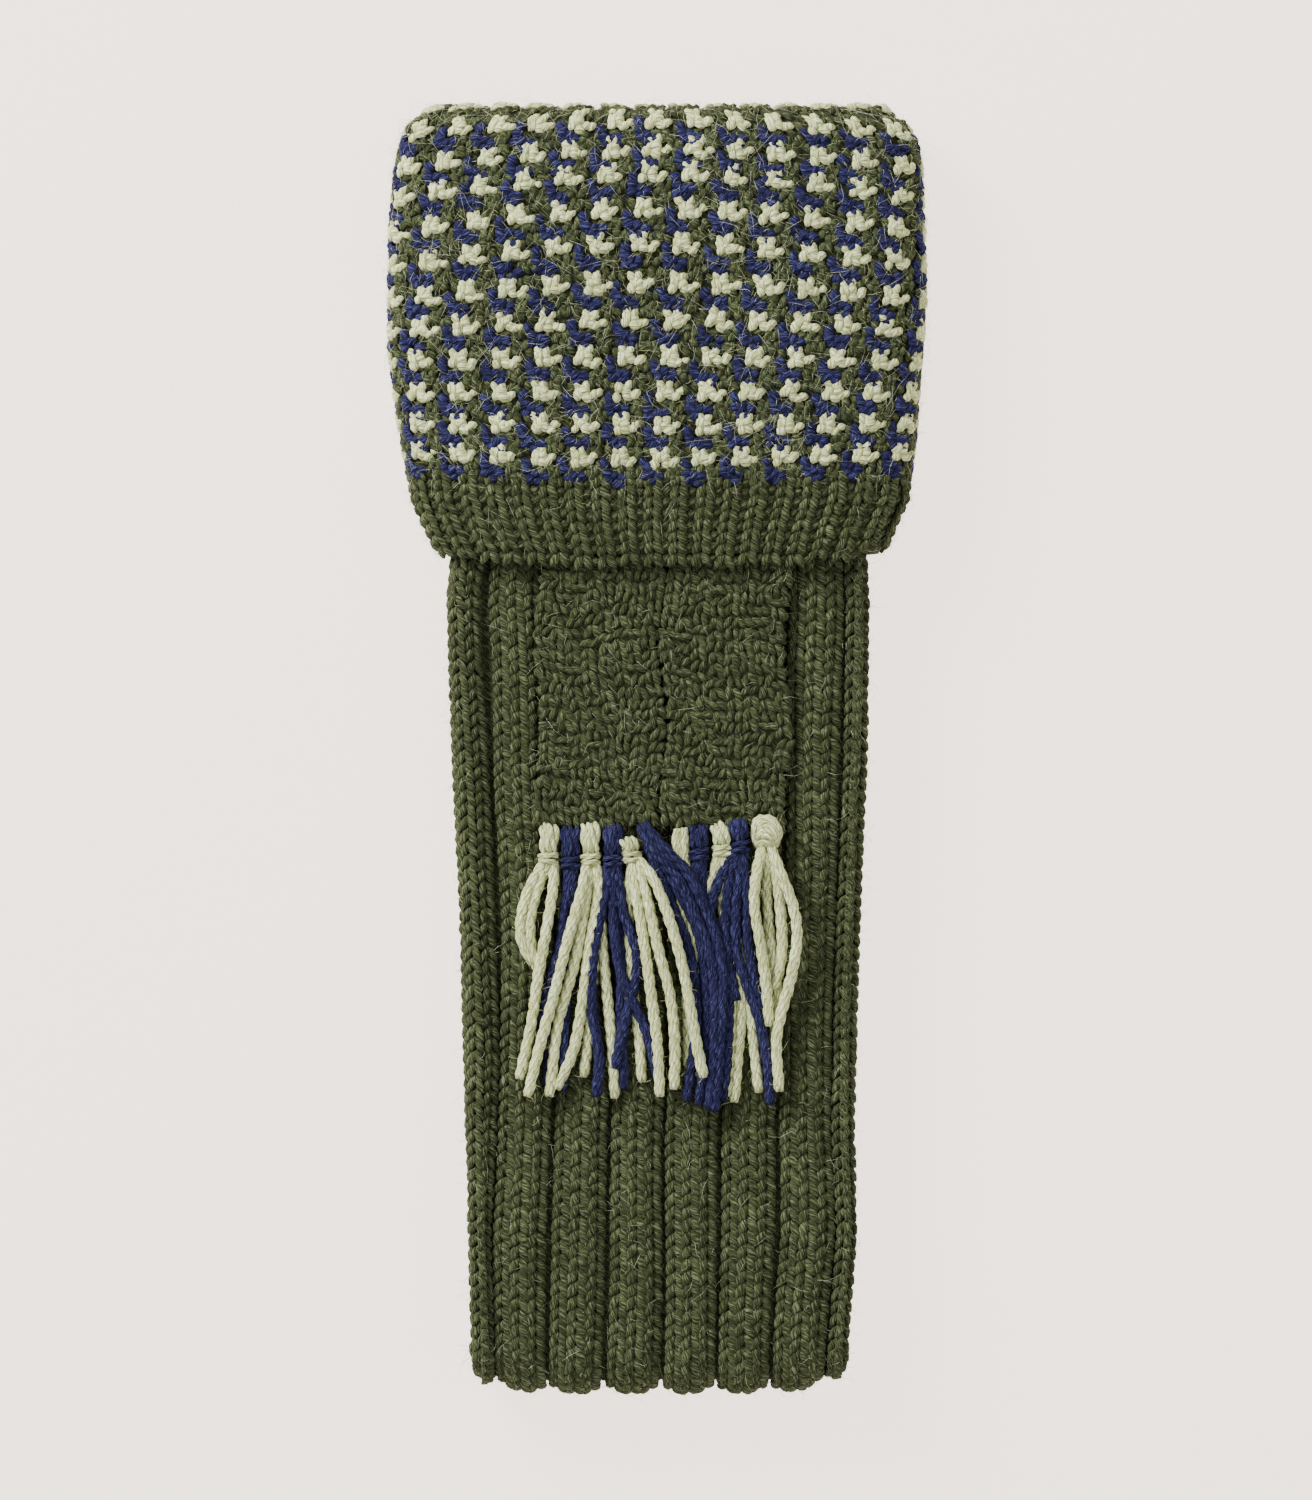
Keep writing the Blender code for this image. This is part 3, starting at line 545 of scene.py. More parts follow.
def leg_surface(depth):
    """The ribbed face of the leg and, past the fold, of the foot."""
    def surface(q, s):
        half_width, half_thick, middle, y, z, up_y, up_z = leg_path(-s)
        ankle = np.clip((-s / STRAIGHT - ANKLE_FROM) / (ANKLE_TO - ANKLE_FROM), 0, 1)
        x, rise = flat_ring(q, half_width, half_thick, rib_sink(q, depth), ankle)
        corner = np.clip((np.abs(x) / half_width - 0.55) / 0.45, 0, 1) ** 2
        y = y - FOLD_CORNER * corner * up_y
        return np.stack((middle + x, y + up_y * rise, z + up_z * rise), axis=-1)
    return surface


def round_trace():
    """A rounded flat section as even shares of its length, from its left edge."""
    fine = 4000
    angle = math.pi - 2 * math.pi * np.arange(fine + 1) / fine
    power = 2 / CUFF_ROUNDNESS
    cosine, sine = np.cos(angle), np.sin(angle)
    x = np.sign(cosine) * np.abs(cosine) ** power
    z = np.sign(sine) * np.abs(sine) ** power
    steps = np.hypot(np.diff(x) * CUFF_WIDTH / 2, np.diff(z) * CUFF_THICKNESS / 2)
    lengths = np.concatenate(((0.0,), np.cumsum(steps)))
    return lengths / lengths[-1], x, z, lengths[-1]


ROUND_SHARE, ROUND_X, ROUND_Z, CUFF_GIRTH = round_trace()


def cuff_profile():
    """Rows up the border and the cuff, over the roll and down into the mouth.

    Each has its distance along the knitting, half width, half thickness,
    middle, place along the sock and level.
    """
    rows = []
    for down, width, thick, drift in BORDER_ROWS[::-1]:
        y = BORDER_HIGH.y + (BORDER_LOW.y - BORDER_HIGH.y) * down
        rows.append((CUFF_WIDTH * width / 2, CUFF_THICKNESS * thick / 2, CUFF_WIDTH * drift, y,
                     CUFF_THICKNESS * thick / 2))
    for up, width, thick, drift in CUFF_ROWS[1:]:
        y = CUFF_LOW.y + (ROLL_TOP - CUFF_LOW.y) * up
        rows.append((CUFF_WIDTH * width / 2, CUFF_THICKNESS * thick / 2, CUFF_WIDTH * drift, y,
                     CUFF_THICKNESS * thick / 2))
    mouth_half = LEG_WIDTH * LEG_ROWS[0, 1] / 2
    mouth_share = LEG_ROWS[0, 3]
    mouth_thick = (LEG_HOLLOW + (MOUTH_HOLLOW - LEG_HOLLOW) * mouth_share) / 2 + LEG_WALL
    level = LEG_LEVEL - MOUTH_DROP * mouth_share
    inside = (mouth_half - LEG_WALL, mouth_thick - LEG_WALL)
    rim = rows[-1]
    top = (rim[0] + (inside[0] - rim[0]) * 0.45, rim[1] + (inside[1] - rim[1]) * 0.45)
    middle = LEG_WIDTH * LEG_ROWS[0, 2]
    rows.append((*top, middle, ROLL_TOP, (rim[4] + level) / 2))
    rows.append((*inside, middle, ROLL_TOP - CUFF_WALL / 2, level))
    rows.append((*inside, middle, CUFF_TOP - LIP_DEPTH, level))
    rows = np.array(rows)
    step = np.hypot(np.diff(rows[:, 1]), np.diff(rows[:, 3]))
    run = np.concatenate(((0.0,), np.cumsum(step)))
    return np.column_stack((run, rows))


CUFF_PROFILE = cuff_profile()


def cuff_surface(share, h):
    """The outer face of the border and cuff, at a share round and h along."""
    half_width, half_thick, middle, y, level = (
        np.interp(h, CUFF_PROFILE[:, 0], CUFF_PROFILE[:, k]) for k in range(1, 6))
    around = np.mod(share, 1.0)
    x = half_width * np.interp(around, ROUND_SHARE, ROUND_X)
    rise = half_thick * np.interp(around, ROUND_SHARE, ROUND_Z)
    return np.stack((middle + x, y, level + rise), axis=-1)


def tab_surface(low, high):
    """The top face of a garter end, at a share across and y along."""
    def surface(share, y):
        x = low.x + 0.8 * MM * np.sin(y / (6.5 * MM) + 0.8) + (high.x - low.x) * share
        edge = np.clip(np.minimum(share, 1 - share) / 0.08, 0, 1)
        z = high.z - 0.5 * MM * (1 - edge) ** 2
        return np.stack((x, np.broadcast_to(y, np.shape(x)), z), axis=-1)
    return surface


# Materials


def math_node(tree, operation, first, second=None, third=None):
    """A maths node fed with links or plain numbers; its result."""
    node = tree.nodes.new("ShaderNodeMath")
    node.operation = operation
    for socket, value in zip(node.inputs, (first, second, third)):
        if isinstance(value, bpy.types.NodeSocket):
            tree.links.new(value, socket)
        elif value is not None:
            socket.default_value = value
    return node.outputs["Value"]


def map_node(tree, value, from_low, from_high, to_low, to_high):
    """A value mapped from one range to another."""
    node = tree.nodes.new("ShaderNodeMapRange")
    tree.links.new(value, node.inputs["Value"])
    for label, number in (("From Min", from_low), ("From Max", from_high),
                          ("To Min", to_low), ("To Max", to_high)):
        node.inputs[label].default_value = number
    return node.outputs["Result"]


def noise_node(tree, vector, scale, detail, roughness=0.5):
    """Noise over a vector; its value from 0 to 1."""
    node = tree.nodes.new("ShaderNodeTexNoise")
    tree.links.new(vector, node.inputs["Vector"])
    node.inputs["Scale"].default_value = scale
    node.inputs["Detail"].default_value = detail
    node.inputs["Roughness"].default_value = roughness
    return node.outputs["Fac"]


def wool(name, dark, mid, light, warm, sheen=0.3, tone_spread=0.10, crease_shade=0.54):
    """Plied wool: fibres that wind round the yarn, creases between plies darkened as painted shade, uneven dye.
    """
    material = bpy.data.materials.new(name)
    material.use_nodes = True
    tree = material.node_tree
    nodes, links = tree.nodes, tree.links
    shader = nodes["Principled BSDF"]
    shader.inputs["Roughness"].default_value = 0.95
    shader.inputs["Specular IOR Level"].default_value = 0.1
    shader.inputs["Sheen Weight"].default_value = sheen
    shader.inputs["Sheen Roughness"].default_value = 0.5
    shader.inputs["Sheen Tint"].default_value = (*light, 1.0)

    ply = nodes.new("ShaderNodeAttribute")
    ply.attribute_name = "ply"
    parts = nodes.new("ShaderNodeSeparateXYZ")
    links.new(ply.outputs["Vector"], parts.inputs["Vector"])
    phase = math_node(tree, "MULTIPLY_ADD", parts.outputs["X"], PLY_TWIST, parts.outputs["Y"])
    wave = math_node(tree, "ABSOLUTE", math_node(tree, "COSINE", math_node(
        tree, "MULTIPLY", phase, PLIES / 2)))
    crease = map_node(tree, wave, 0.0, 0.55, 0.0, 1.0)

    winding = nodes.new("ShaderNodeCombineXYZ")
    links.new(math_node(tree, "MULTIPLY", parts.outputs["X"], FIBRE_ALONG), winding.inputs["X"])
    links.new(math_node(tree, "MULTIPLY", phase, FIBRE_ROUND), winding.inputs["Y"])
    links.new(parts.outputs["Z"], winding.inputs["Z"])
    fibres = noise_node(tree, winding.outputs["Vector"], 1.0, 4.0, 0.6)

    place = nodes.new("ShaderNodeTexCoord").outputs["Object"]
    ramp = nodes.new("ShaderNodeValToRGB")
    ramp.color_ramp.elements[0].position = 0.40
    ramp.color_ramp.elements[0].color = (*dark, 1.0)
    ramp.color_ramp.elements[1].position = 0.61
    ramp.color_ramp.elements[1].color = (*light, 1.0)
    middle = ramp.color_ramp.elements.new(0.5)
    middle.color = (*mid, 1.0)
    links.new(fibres, ramp.inputs["Fac"])

    heather = nodes.new("ShaderNodeMix")
    heather.data_type = "RGBA"
    share = map_node(tree, noise_node(tree, place, 420.0, 4.0, 0.65), 0.42, 0.66, 0.0, 0.55)
    links.new(share, heather.inputs["Factor"])
    links.new(ramp.outputs["Color"], heather.inputs["A"])
    heather.inputs["B"].default_value = (*warm, 1.0)

    # The tone attribute holds each length of yarn's own random shade, and painted shade too: low tones on the
    # backing, near the leg's grooves and on the border's sunken purl wales.
    tone = nodes.new("ShaderNodeAttribute")
    tone.attribute_name = "tone"
    value = map_node(tree, tone.outputs["Fac"], -4.0, 4.0, 1.0 - 4 * tone_spread, 1.0 + 4 * tone_spread)
    dye = map_node(tree, noise_node(tree, place, 90.0, 2.0), 0.3, 0.7, 0.90, 1.10)
    shade = math_node(tree, "MULTIPLY", value, dye)
    # Painted shade: the colour darkens in the creases between plies.
    shade = math_node(tree, "MULTIPLY", shade, map_node(tree, crease, 0.0, 1.0, crease_shade, 1.0))
    colour = nodes.new("ShaderNodeVectorMath")
    colour.operation = "SCALE"
    links.new(heather.outputs["Result"], colour.inputs[0])
    links.new(shade, colour.inputs["Scale"])
    links.new(colour.outputs["Vector"], shader.inputs["Base Color"])

    bump = nodes.new("ShaderNodeBump")
    bump.inputs["Strength"].default_value = 1.0
    bump.inputs["Distance"].default_value = 0.30 * MM
    links.new(math_node(tree, "MULTIPLY_ADD", crease, 0.7, fibres), bump.inputs["Height"])
    links.new(bump.outputs["Normal"], shader.inputs["Normal"])
    return material


def srgb(red, green, blue):
    """A linear colour from 8-bit display values."""
    def line(value):
        share = value / 255
        return share / 12.92 if share <= 0.04045 else ((share + 0.055) / 1.055) ** 2.4
    return line(red), line(green), line(blue)


PLY_TWIST = 0.85
PLIES = 4
FIBRE_ALONG = 0.55
FIBRE_ROUND = 2.9
GREEN_WOOL = wool("green_wool", srgb(36, 41, 22), srgb(54, 60, 36), srgb(105, 114, 83),
                  srgb(59, 61, 35), tone_spread=0.11)
CREAM_WOOL = wool("cream_wool", srgb(142, 148, 90), srgb(208, 216, 155), srgb(247, 252, 211),
                  srgb(200, 202, 136), sheen=0.1, tone_spread=0.03, crease_shade=0.62)
NAVY_WOOL = wool("navy_wool", srgb(15, 15, 37), srgb(28, 28, 62), srgb(70, 73, 114),
                 srgb(35, 31, 62), sheen=0.2, tone_spread=0.08)
FUZZ_WOOL = wool("fuzz", srgb(150, 154, 126), srgb(188, 192, 164), srgb(216, 220, 196),
                 srgb(176, 178, 146), sheen=0.0, tone_spread=0.06, crease_shade=1.0)
YARNS = (GREEN_WOOL, CREAM_WOOL, NAVY_WOOL, FUZZ_WOOL)


# Pieces


def finish_piece(piece, slot, *nodes):
    """Ride a piece on the sock's one body and stand it for its solids."""
    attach(piece, "root")
    if nodes:
        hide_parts(*nodes)
    return piece


def groove_sink(q, _):
    """Depth of the leg's backing under its stitches: deep in the grooves."""
    return 0.95 * MM + 0.35 * MM * np.abs(2 * np.mod(q, 1.0) - 1) ** 3


def rib_stitches(ribs, low, high, rng):
    """Places of the knit stitches of some ribs, three to a rib."""
    rows = np.arange(low, high, ROW_PITCH)
    across, along = [], []
    for rib in ribs:
        for wale in (0.19, 0.50, 0.81):
            offset = rng.uniform(-0.5, 0.5) * ROW_PITCH * 0.5
            across.append(np.full(len(rows), rib + wale))
            along.append(-(rows + offset))
    across = np.concatenate(across)
    along = np.concatenate(along)
    drift = 0.03 * np.sin(along / (31 * MM) + across * 1.7) + 0.02 * np.sin(along / (11 * MM) + across)
    return across + drift, along


def rib_groove_shade(across):
    """Painted shade: stitches are darker towards the grooves between the ribs, where shade falls."""
    return 0.5 - 3.0 * np.abs(2 * np.mod(across, 1.0) - 1) ** 3


def make_leg():
    """The leg: front and side ribs in full, the hidden back more simply."""
    rng = np.random.default_rng(11)
    surface = leg_surface(RIB_DEPTH)
    half_fold = STRAIGHT + FOLD_ARC / 2
    hidden = LEG_START - BORDER_LOW.y - 8 * MM
    front = Yarn()
    across, along = rib_stitches(range(0, 6), hidden, half_fold, rng)
    # Their tones darken them towards the grooves: painted shade.
    add_knit(front, rng, surface, across, along, 4.75 * MM, ROW_PITCH, tone=rib_groove_shade(across))
    finish_piece(front.make("leg_front_knit", YARNS), "green_wool", "leg")

    sides = Yarn()
    across, along = rib_stitches((6, 7, 14, 15), hidden, half_fold, rng)
    add_knit(sides, rng, surface, across, along, 4.0 * MM, ROW_PITCH, sides=5, tone=rib_groove_shade(across))
    back_low = LEG_START - BORDER_LOW.y - 8 * MM
    back_high = LEG_START - TOE_LOW.y + 6 * MM
    across, along = rib_stitches(range(8, 14), back_low, back_high, rng)
    add_knit(sides, rng, surface, across, along, 4.75 * MM, ROW_PITCH, sides=4, rings=3)
    across, along = rib_stitches((8, 13), back_high, STRAIGHT, rng)
    add_knit(sides, rng, surface, across, along, 4.75 * MM, ROW_PITCH, sides=4, rings=3)
    scatter_hairs(sides, rng, surface, (-1.5, 7.5), (-half_fold, -hidden), 3600, slot=GREEN)
    scatter_hairs(sides, rng, surface, (-1.5, 7.5), (-half_fold, -hidden), 500)
    finish_piece(sides.make("leg_side_knit", YARNS), "green_wool", "leg")

    backing = Yarn()
    around = np.arange(0, RIBS, 0.25)
    down = np.concatenate((np.linspace(0, STRAIGHT, 50), STRAIGHT + FOLD_ARC / 2 * np.linspace(0.1, 1, 8)))
    add_backing(backing, surface, around, -down[::-1], 0, LEG_WALL * 0.9, True, out_sunk=groove_sink)
    finish_piece(backing.make("leg_backing", YARNS), "green_wool", "leg")


def make_foot():
    """The foot under the leg, its instep ribs towards the floor."""
    rng = np.random.default_rng(12)
    surface = leg_surface(RIB_DEPTH)
    start = STRAIGHT + FOLD_ARC / 2
    end = STRAIGHT + FOLD_ARC + FOOT_HIGH.y - FOLD_Y
    yarn = Yarn()
    across, along = rib_stitches(range(-2, 8), start, end, rng)
    # Their tones darken them towards the grooves: painted shade.
    add_knit(yarn, rng, surface, across, along, 4.3 * MM, ROW_PITCH, sides=4, rings=3, lift=-0.25 * MM,
             tone=rib_groove_shade(across))
    around = np.arange(0, RIBS, 0.25)
    run = np.linspace(start, end, 40)
    add_backing(yarn, surface, around, -run[::-1], 0, LEG_WALL * 0.9, True, out_sunk=groove_sink)
    finish_piece(yarn.make("foot_knit", YARNS), "green_wool", "foot")


def toe_surface(share, y):
    """The toe cap's outer face, at a share round and y along."""
    along = (y - TOE_LOW.y) / (TOE_HIGH.y - TOE_LOW.y)
    half_width = FOOT_WIDTH / 2 * np.interp(along, TOE_ROWS[:, 0], TOE_ROWS[:, 1])
    half_thick = FOOT_THICKNESS / 2 * np.interp(along, TOE_ROWS[:, 0], TOE_ROWS[:, 2])
    around = np.mod(share, 1.0)
    x = half_width * np.interp(around, ROUND_SHARE, ROUND_X)
    rise = half_thick * np.interp(around, ROUND_SHARE, ROUND_Z)
    return np.stack((x, np.broadcast_to(y, x.shape), half_thick + rise), axis=-1)


def make_toe():
    """The plain knitted toe cap, sewn shut along its end."""
    rng = np.random.default_rng(13)
    yarn = Yarn()
    for y in np.arange(TOE_LOW.y + 1.4 * MM, TOE_HIGH.y, ROW_PITCH):
        along = (y - TOE_LOW.y) / (TOE_HIGH.y - TOE_LOW.y)
        girth = 4 * FOOT_WIDTH / 2 * np.interp(along, TOE_ROWS[:, 0], TOE_ROWS[:, 1])
        wales = round(girth / (4.4 * MM))
        share = (np.arange(wales) + 0.5) / wales
        add_knit(yarn, rng, toe_surface, share, np.full(wales, y), 4.4 * MM, ROW_PITCH, sides=4,
                 rings=3, tip_up=False, lift=-0.2 * MM)
    add_backing(yarn, toe_surface, np.linspace(0, 1, 49)[:-1], np.linspace(TOE_LOW.y, TOE_HIGH.y, 14),
                0.9 * MM, 2.0 * MM, True)
    half = FOOT_WIDTH / 2 * TOE_ROWS[-1, 1] - 1.5 * MM
    seam = np.linspace(-half, half, 12)
    level = FOOT_THICKNESS / 2 * TOE_ROWS[-1, 2]
    line = np.column_stack((seam, np.full(12, TOE_HIGH.y - 1.5 * MM), np.full(12, level)))
    for turn in (-1, 1):
        add_strand(yarn, rng, line + np.array((0, 0, turn * 1.0 * MM)), 1.4 * MM, GREEN)
    finish_piece(yarn.make("toe_knit", YARNS), "green_wool", "toe")


def heel_line():
    """The heel pouch's profile: run, y without its reach, share of reach and z."""
    leg_back = ANKLE_LEVEL - ANKLE_THICKNESS / 2 + LEG_WALL / 2
    sole = FOOT_THICKNESS - LEG_WALL / 2
    lower = FOOT_THICKNESS + SKIN_GAP + HEEL_WALL / 2
    upper = lower + HEEL_WALL + HEEL_HOLLOW
    rows = []
    for pull, high, low, side, facing in ((0, leg_back, upper, -1, 1), (1, upper, lower, 1, -1),
                                          (0, lower, sole, -1, 1)):
        radius = (high - low) / 2
        for angle in np.linspace(0, math.pi, 7):
            away = np.array((side * math.sin(angle), math.cos(angle)))
            point = away * (radius + facing * HEEL_WALL / 2)
            rows.append((FOLD_Y - SKIN_GAP * (1 - pull) + point[0], pull, (high + low) / 2 + point[1]))
    rows = np.array(rows)
    y = rows[:, 0] + rows[:, 1] * HEEL_REACH
    run = np.concatenate(((0.0,), np.cumsum(np.hypot(np.diff(y), np.diff(rows[:, 2])))))
    return np.column_stack((run, rows))


def make_heel():
    """The heel pouch, pressed flat between the leg's back and the sole."""
    rng = np.random.default_rng(14)
    low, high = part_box("heel")
    line = heel_line()

    def surface(across, run):
        x = (low.x + high.x) / 2 - across * (high.x - low.x) / 2
        reach = HEEL_REACH * np.sqrt(np.clip(1 - (HEEL_CORNER_SHARE * across) ** 2, 0, 1))
        y = np.interp(run, line[:, 0], line[:, 1]) + np.interp(run, line[:, 0], line[:, 2]) * reach
        return np.stack((x, y, np.interp(run, line[:, 0], line[:, 3])), axis=-1)

    yarn = Yarn()
    wales = 16
    for run in np.arange(ROW_PITCH, line[-1, 0] - 1 * MM, ROW_PITCH):
        share = (np.arange(wales) + 0.5) / wales * 1.9 - 0.95
        add_knit(yarn, rng, surface, share, np.full(wales, run), 4.4 * MM, ROW_PITCH, sides=4,
                 rings=3, lift=-1.1 * MM)
    add_backing(yarn, surface, np.linspace(-0.98, 0.98, 25), line[:, 0], 0.35 * MM, HEEL_WALL, False)
    finish_piece(yarn.make("heel_knit", YARNS), "green_wool", "heel")


def make_band():
    """The garter tie's band round the leg, under the cuff."""
    rng = np.random.default_rng(15)
    low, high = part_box("garter_band")
    half_width, half_thick = (high.x - low.x) / 2, (high.z - low.z) / 2

    def surface(q, y):
        x, rise = flat_ring(q, half_width, half_thick, 0.3 * MM, 1.0)
        return np.stack(((low.x + high.x) / 2 + x, np.broadcast_to(y, x.shape),
                         (low.z + high.z) / 2 + rise), axis=-1)

    yarn = Yarn()
    bumps = 60
    for row, y in enumerate(np.arange(low.y + 1.2 * MM, high.y - 1.0 * MM, 2.6 * MM)):
        q = (np.arange(bumps) + 0.5 * (row % 2)) * RIBS / bumps
        add_purl(yarn, rng, surface, q, np.full(bumps, y), 4.4 * MM, 2.4 * MM, sides=4, rings=3)
    around = np.arange(0, RIBS, 0.25)
    add_backing(yarn, surface, around, np.linspace(low.y, high.y, 6), 0.6 * MM, 2.0 * MM, True)
    finish_piece(yarn.make("garter_band_knit", YARNS), "green_wool", "garter_band")


# One star of the cuff and what lies beside it, in millimetres from its centre:
# across, along, turn of the swell in degrees from across, length, width, lift
CREAM_SWELLS = (
    (-1.15, 1.60, 110, 3.4, 2.2, 0.30),
    (1.15, 1.65, 66, 3.4, 2.2, 0.30),
    (-0.65, 0.25, 36, 3.2, 3.1, 0.45),
    (0.65, 0.00, -30, 3.2, 3.1, 0.45),
    (-1.35, -1.40, 58, 3.3, 2.5, 0.30),
    (1.10, -1.45, -44, 3.4, 2.6, 0.35),
    (2.70, -1.50, 22, 3.0, 2.3, 0.25),
    (4.00, -0.80, 24, 2.7, 2.0, 0.15),
)
NAVY_SWELLS = (
    (-4.05, -1.70, 100, 3.6, 2.9, 0.20),
    (-3.70, -3.70, 140, 3.6, 2.9, 0.35),
    (-1.80, -4.30, 8, 3.5, 2.6, 0.35),
    (0.20, -4.75, -20, 3.4, 2.6, 0.30),
    (-3.20, -5.50, 10, 3.4, 2.5, 0.25),
    (-0.90, -6.30, 4, 3.6, 2.4, 0.25),
)
GREEN_SWELLS = (
    (3.10, -3.10, 120, 3.1, 2.1, 0.10),
    (2.20, -4.80, 50, 3.1, 2.1, 0.05),
    (3.40, -6.20, 125, 3.1, 2.1, 0.10),
    (4.70, -4.30, 60, 3.0, 2.0, 0.00),
    (4.90, 1.60, 115, 3.1, 2.1, 0.10),
    (3.10, 1.60, 60, 3.1, 2.0, 0.05),
    (5.30, -6.60, 65, 3.0, 1.9, 0.00),
    (-3.20, 1.40, 118, 3.0, 2.0, 0.00),
    (5.50, -2.60, 100, 3.0, 1.8, -0.05),
    (0.20, 3.00, 10, 3.2, 1.8, -0.20),
    (0.40, -3.00, 0, 3.2, 1.8, -0.30),
)
MOTIFS = ((CREAM_SWELLS, CREAM, 0.90), (NAVY_SWELLS, NAVY, 1.01), (GREEN_SWELLS, GREEN, 0.96))


def cuff_height(y):
    """Distance along the cuff's knitting where its outer wall is at y."""
    roll = int(np.argmax(CUFF_PROFILE[:, 4]))
    return np.interp(y, CUFF_PROFILE[:roll + 1, 4], CUFF_PROFILE[:roll + 1, 0])


def make_cuff():
    """The patterned cuff: stars, hooks and zigzags of three yarns."""
    cells = round(CUFF_GIRTH / CELL_WIDTH)
    half = cells // 2
    top_h = cuff_height(ROLL_TOP - 0.01 * MM)
    for name, first, last, sides, rings, seed in (
            ("cuff_front_knit", 0, half, 5, 4, 21), ("cuff_back_knit", half, cells, 4, 3, 22)):
        rng = np.random.default_rng(seed)
        yarn = Yarn()
        over_top = (STAR_ROWS[0][0] - 5.9, STAR_ROWS[0][1])
        for row, (down, arch) in enumerate((over_top,) + STAR_ROWS):
            cell = np.arange(first, last) + 0.5
            share = cell / cells - (row - 6) * STAR_SLANT / CUFF_GIRTH
            x = cuff_surface(share, np.full(len(share), top_h * 0.6))[:, 0]
            lower = arch * (np.abs(x) / (CUFF_WIDTH / 2)) ** 1.6
            h = cuff_height(ROLL_TOP - 0.01 * MM - np.maximum(down + lower, 0) * MM)
            h = h - np.minimum(down + lower, 0) * MM
            for table, slot, size in MOTIFS:
                if row or slot != NAVY:
                    place = share if row else share + 0.5 / cells
                    add_motif(yarn, rng, table, slot, place, h, sides, rings, size)
        half_share = np.linspace(first / cells, last / cells, 49 if last == cells or first == 0 else 48)
        h_grid = np.linspace(cuff_height(BORDER_HIGH.y), CUFF_PROFILE[-1, 0], 60)
        add_backing(yarn, cuff_surface, half_share, h_grid, 0.85 * MM, CUFF_WALL, False)
        if first:
            bottom, edge = cuff_height(BORDER_LOW.y), cuff_height(BORDER_HIGH.y)
            scatter_hairs(yarn, rng, cuff_surface, (-0.03, 0.53), (edge, top_h + 2 * MM), 2000,
                          length=6.5 * MM, lift=1.1 * MM)
            scatter_hairs(yarn, rng, cuff_surface, (-0.03, 0.53), (edge, top_h + 2 * MM), 2400,
                          length=2.6 * MM, lift=0.8 * MM, slot=CREAM)
            scatter_hairs(yarn, rng, cuff_surface, (-0.03, 0.53), (edge, top_h + 2 * MM), 1500,
                          length=4.0 * MM, lift=0.9 * MM, slot=NAVY)
            scatter_hairs(yarn, rng, cuff_surface, (-0.03, 0.53), (bottom, edge), 900, slot=GREEN)
            scatter_hairs(yarn, rng, cuff_surface, (-0.03, 0.53), (bottom, edge), 50)
        finish_piece(yarn.make(name, YARNS), "patterned_knit", "cuff")


def add_motif(yarn, rng, table, slot, share, h, sides, rings, full_size):
    """The swells of one colour of every star in a row."""
    count = len(share)
    tilt = rng.normal(0, 0.10, count)
    size = rng.normal(full_size, 0.06, count)
    for across, along, angle, length, width, lift in table:
        jitter_a, jitter_h = rng.normal(0, 0.26 * MM, (2, count))
        aside = (across * np.cos(tilt) - along * np.sin(tilt)) * size * MM + jitter_a
        up = (along * np.cos(tilt) + across * np.sin(tilt)) * size * MM + jitter_h
        centre, side, run, out = surface_frame(cuff_surface, share + aside / CUFF_GIRTH, h + up)
        turn = math.radians(angle) + tilt + rng.normal(0, 0.18, count)
        axis, breadth = turned(side, run, turn)
        centre = centre + out * (lift * MM - 0.15 * MM + rng.normal(0, 0.08 * MM, count))[:, None]
        scale = rng.normal(1.0, 0.07, count)
        tone = rng.normal(0.5 if slot == GREEN else 0.0, 1.0, count)
        add_swells(yarn, rng, centre, axis, breadth, out, length * MM * scale, width * MM * scale,
                   1.7 * MM, arch=0.42 * MM, slot=slot, sides=sides, rings=rings, tone=tone)


def make_border():
    """The narrow ribbed border: a knit wale and a purl wale by turns, the sunken purl wales darkened as painted
    shade.
    """
    def surface(share, h):
        place = cuff_surface(share, np.maximum(h, 0))
        place[..., 1] += np.minimum(h, 0)
        return place

    rng = np.random.default_rng(31)
    yarn = Yarn()
    ribs = round(CUFF_GIRTH * 0.93 / BORDER_RIB)
    top = cuff_height(BORDER_HIGH.y)
    for rib in range(ribs):
        middle = surface(np.array(((rib + 0.5) / ribs,)), np.zeros(1))[0, 0]
        edge = abs(middle) / (CUFF_WIDTH * BORDER_ROWS[-1, 1] / 2)
        sag = BORDER_SAG * (1 - edge ** 2) if rib < ribs / 2 else 0
        sag -= BORDER_CORNER * np.clip((edge - 0.8) / 0.2, 0, 1) ** 2
        rows = np.arange(0.6 * MM - sag, top + 2.0 * MM, BORDER_ROW_PITCH)
        slant = (rows - top) * 0.02 / CUFF_GIRTH
        share = np.full(len(rows), (rib + 0.25) / ribs) + slant
        shift = rng.uniform(-0.2, 0.2) * BORDER_ROW_PITCH
        add_knit(yarn, rng, surface, share, rows + shift, 4.5 * MM, BORDER_ROW_PITCH, sides=5,
                 lift=0.25 * MM, tone=0.5)
        # The purl wales' low tone is painted shade in the sunken wales between the knit ones.
        add_purl(yarn, rng, surface, share + 0.5 / ribs, rows + shift, 3.2 * MM, 2.4 * MM, sides=5,
                 lift=-0.6 * MM, tone=-0.6 + rng.normal(0, 0.6, len(rows)))
    around = np.linspace(0, 1, 97)[:-1]
    add_backing(yarn, cuff_surface, around, np.linspace(0.0, top, 8), 0.9 * MM, LEG_WALL * 0.9, True)
    finish_piece(yarn.make("cuff_border_knit", YARNS), "green_wool", "cuff_border")


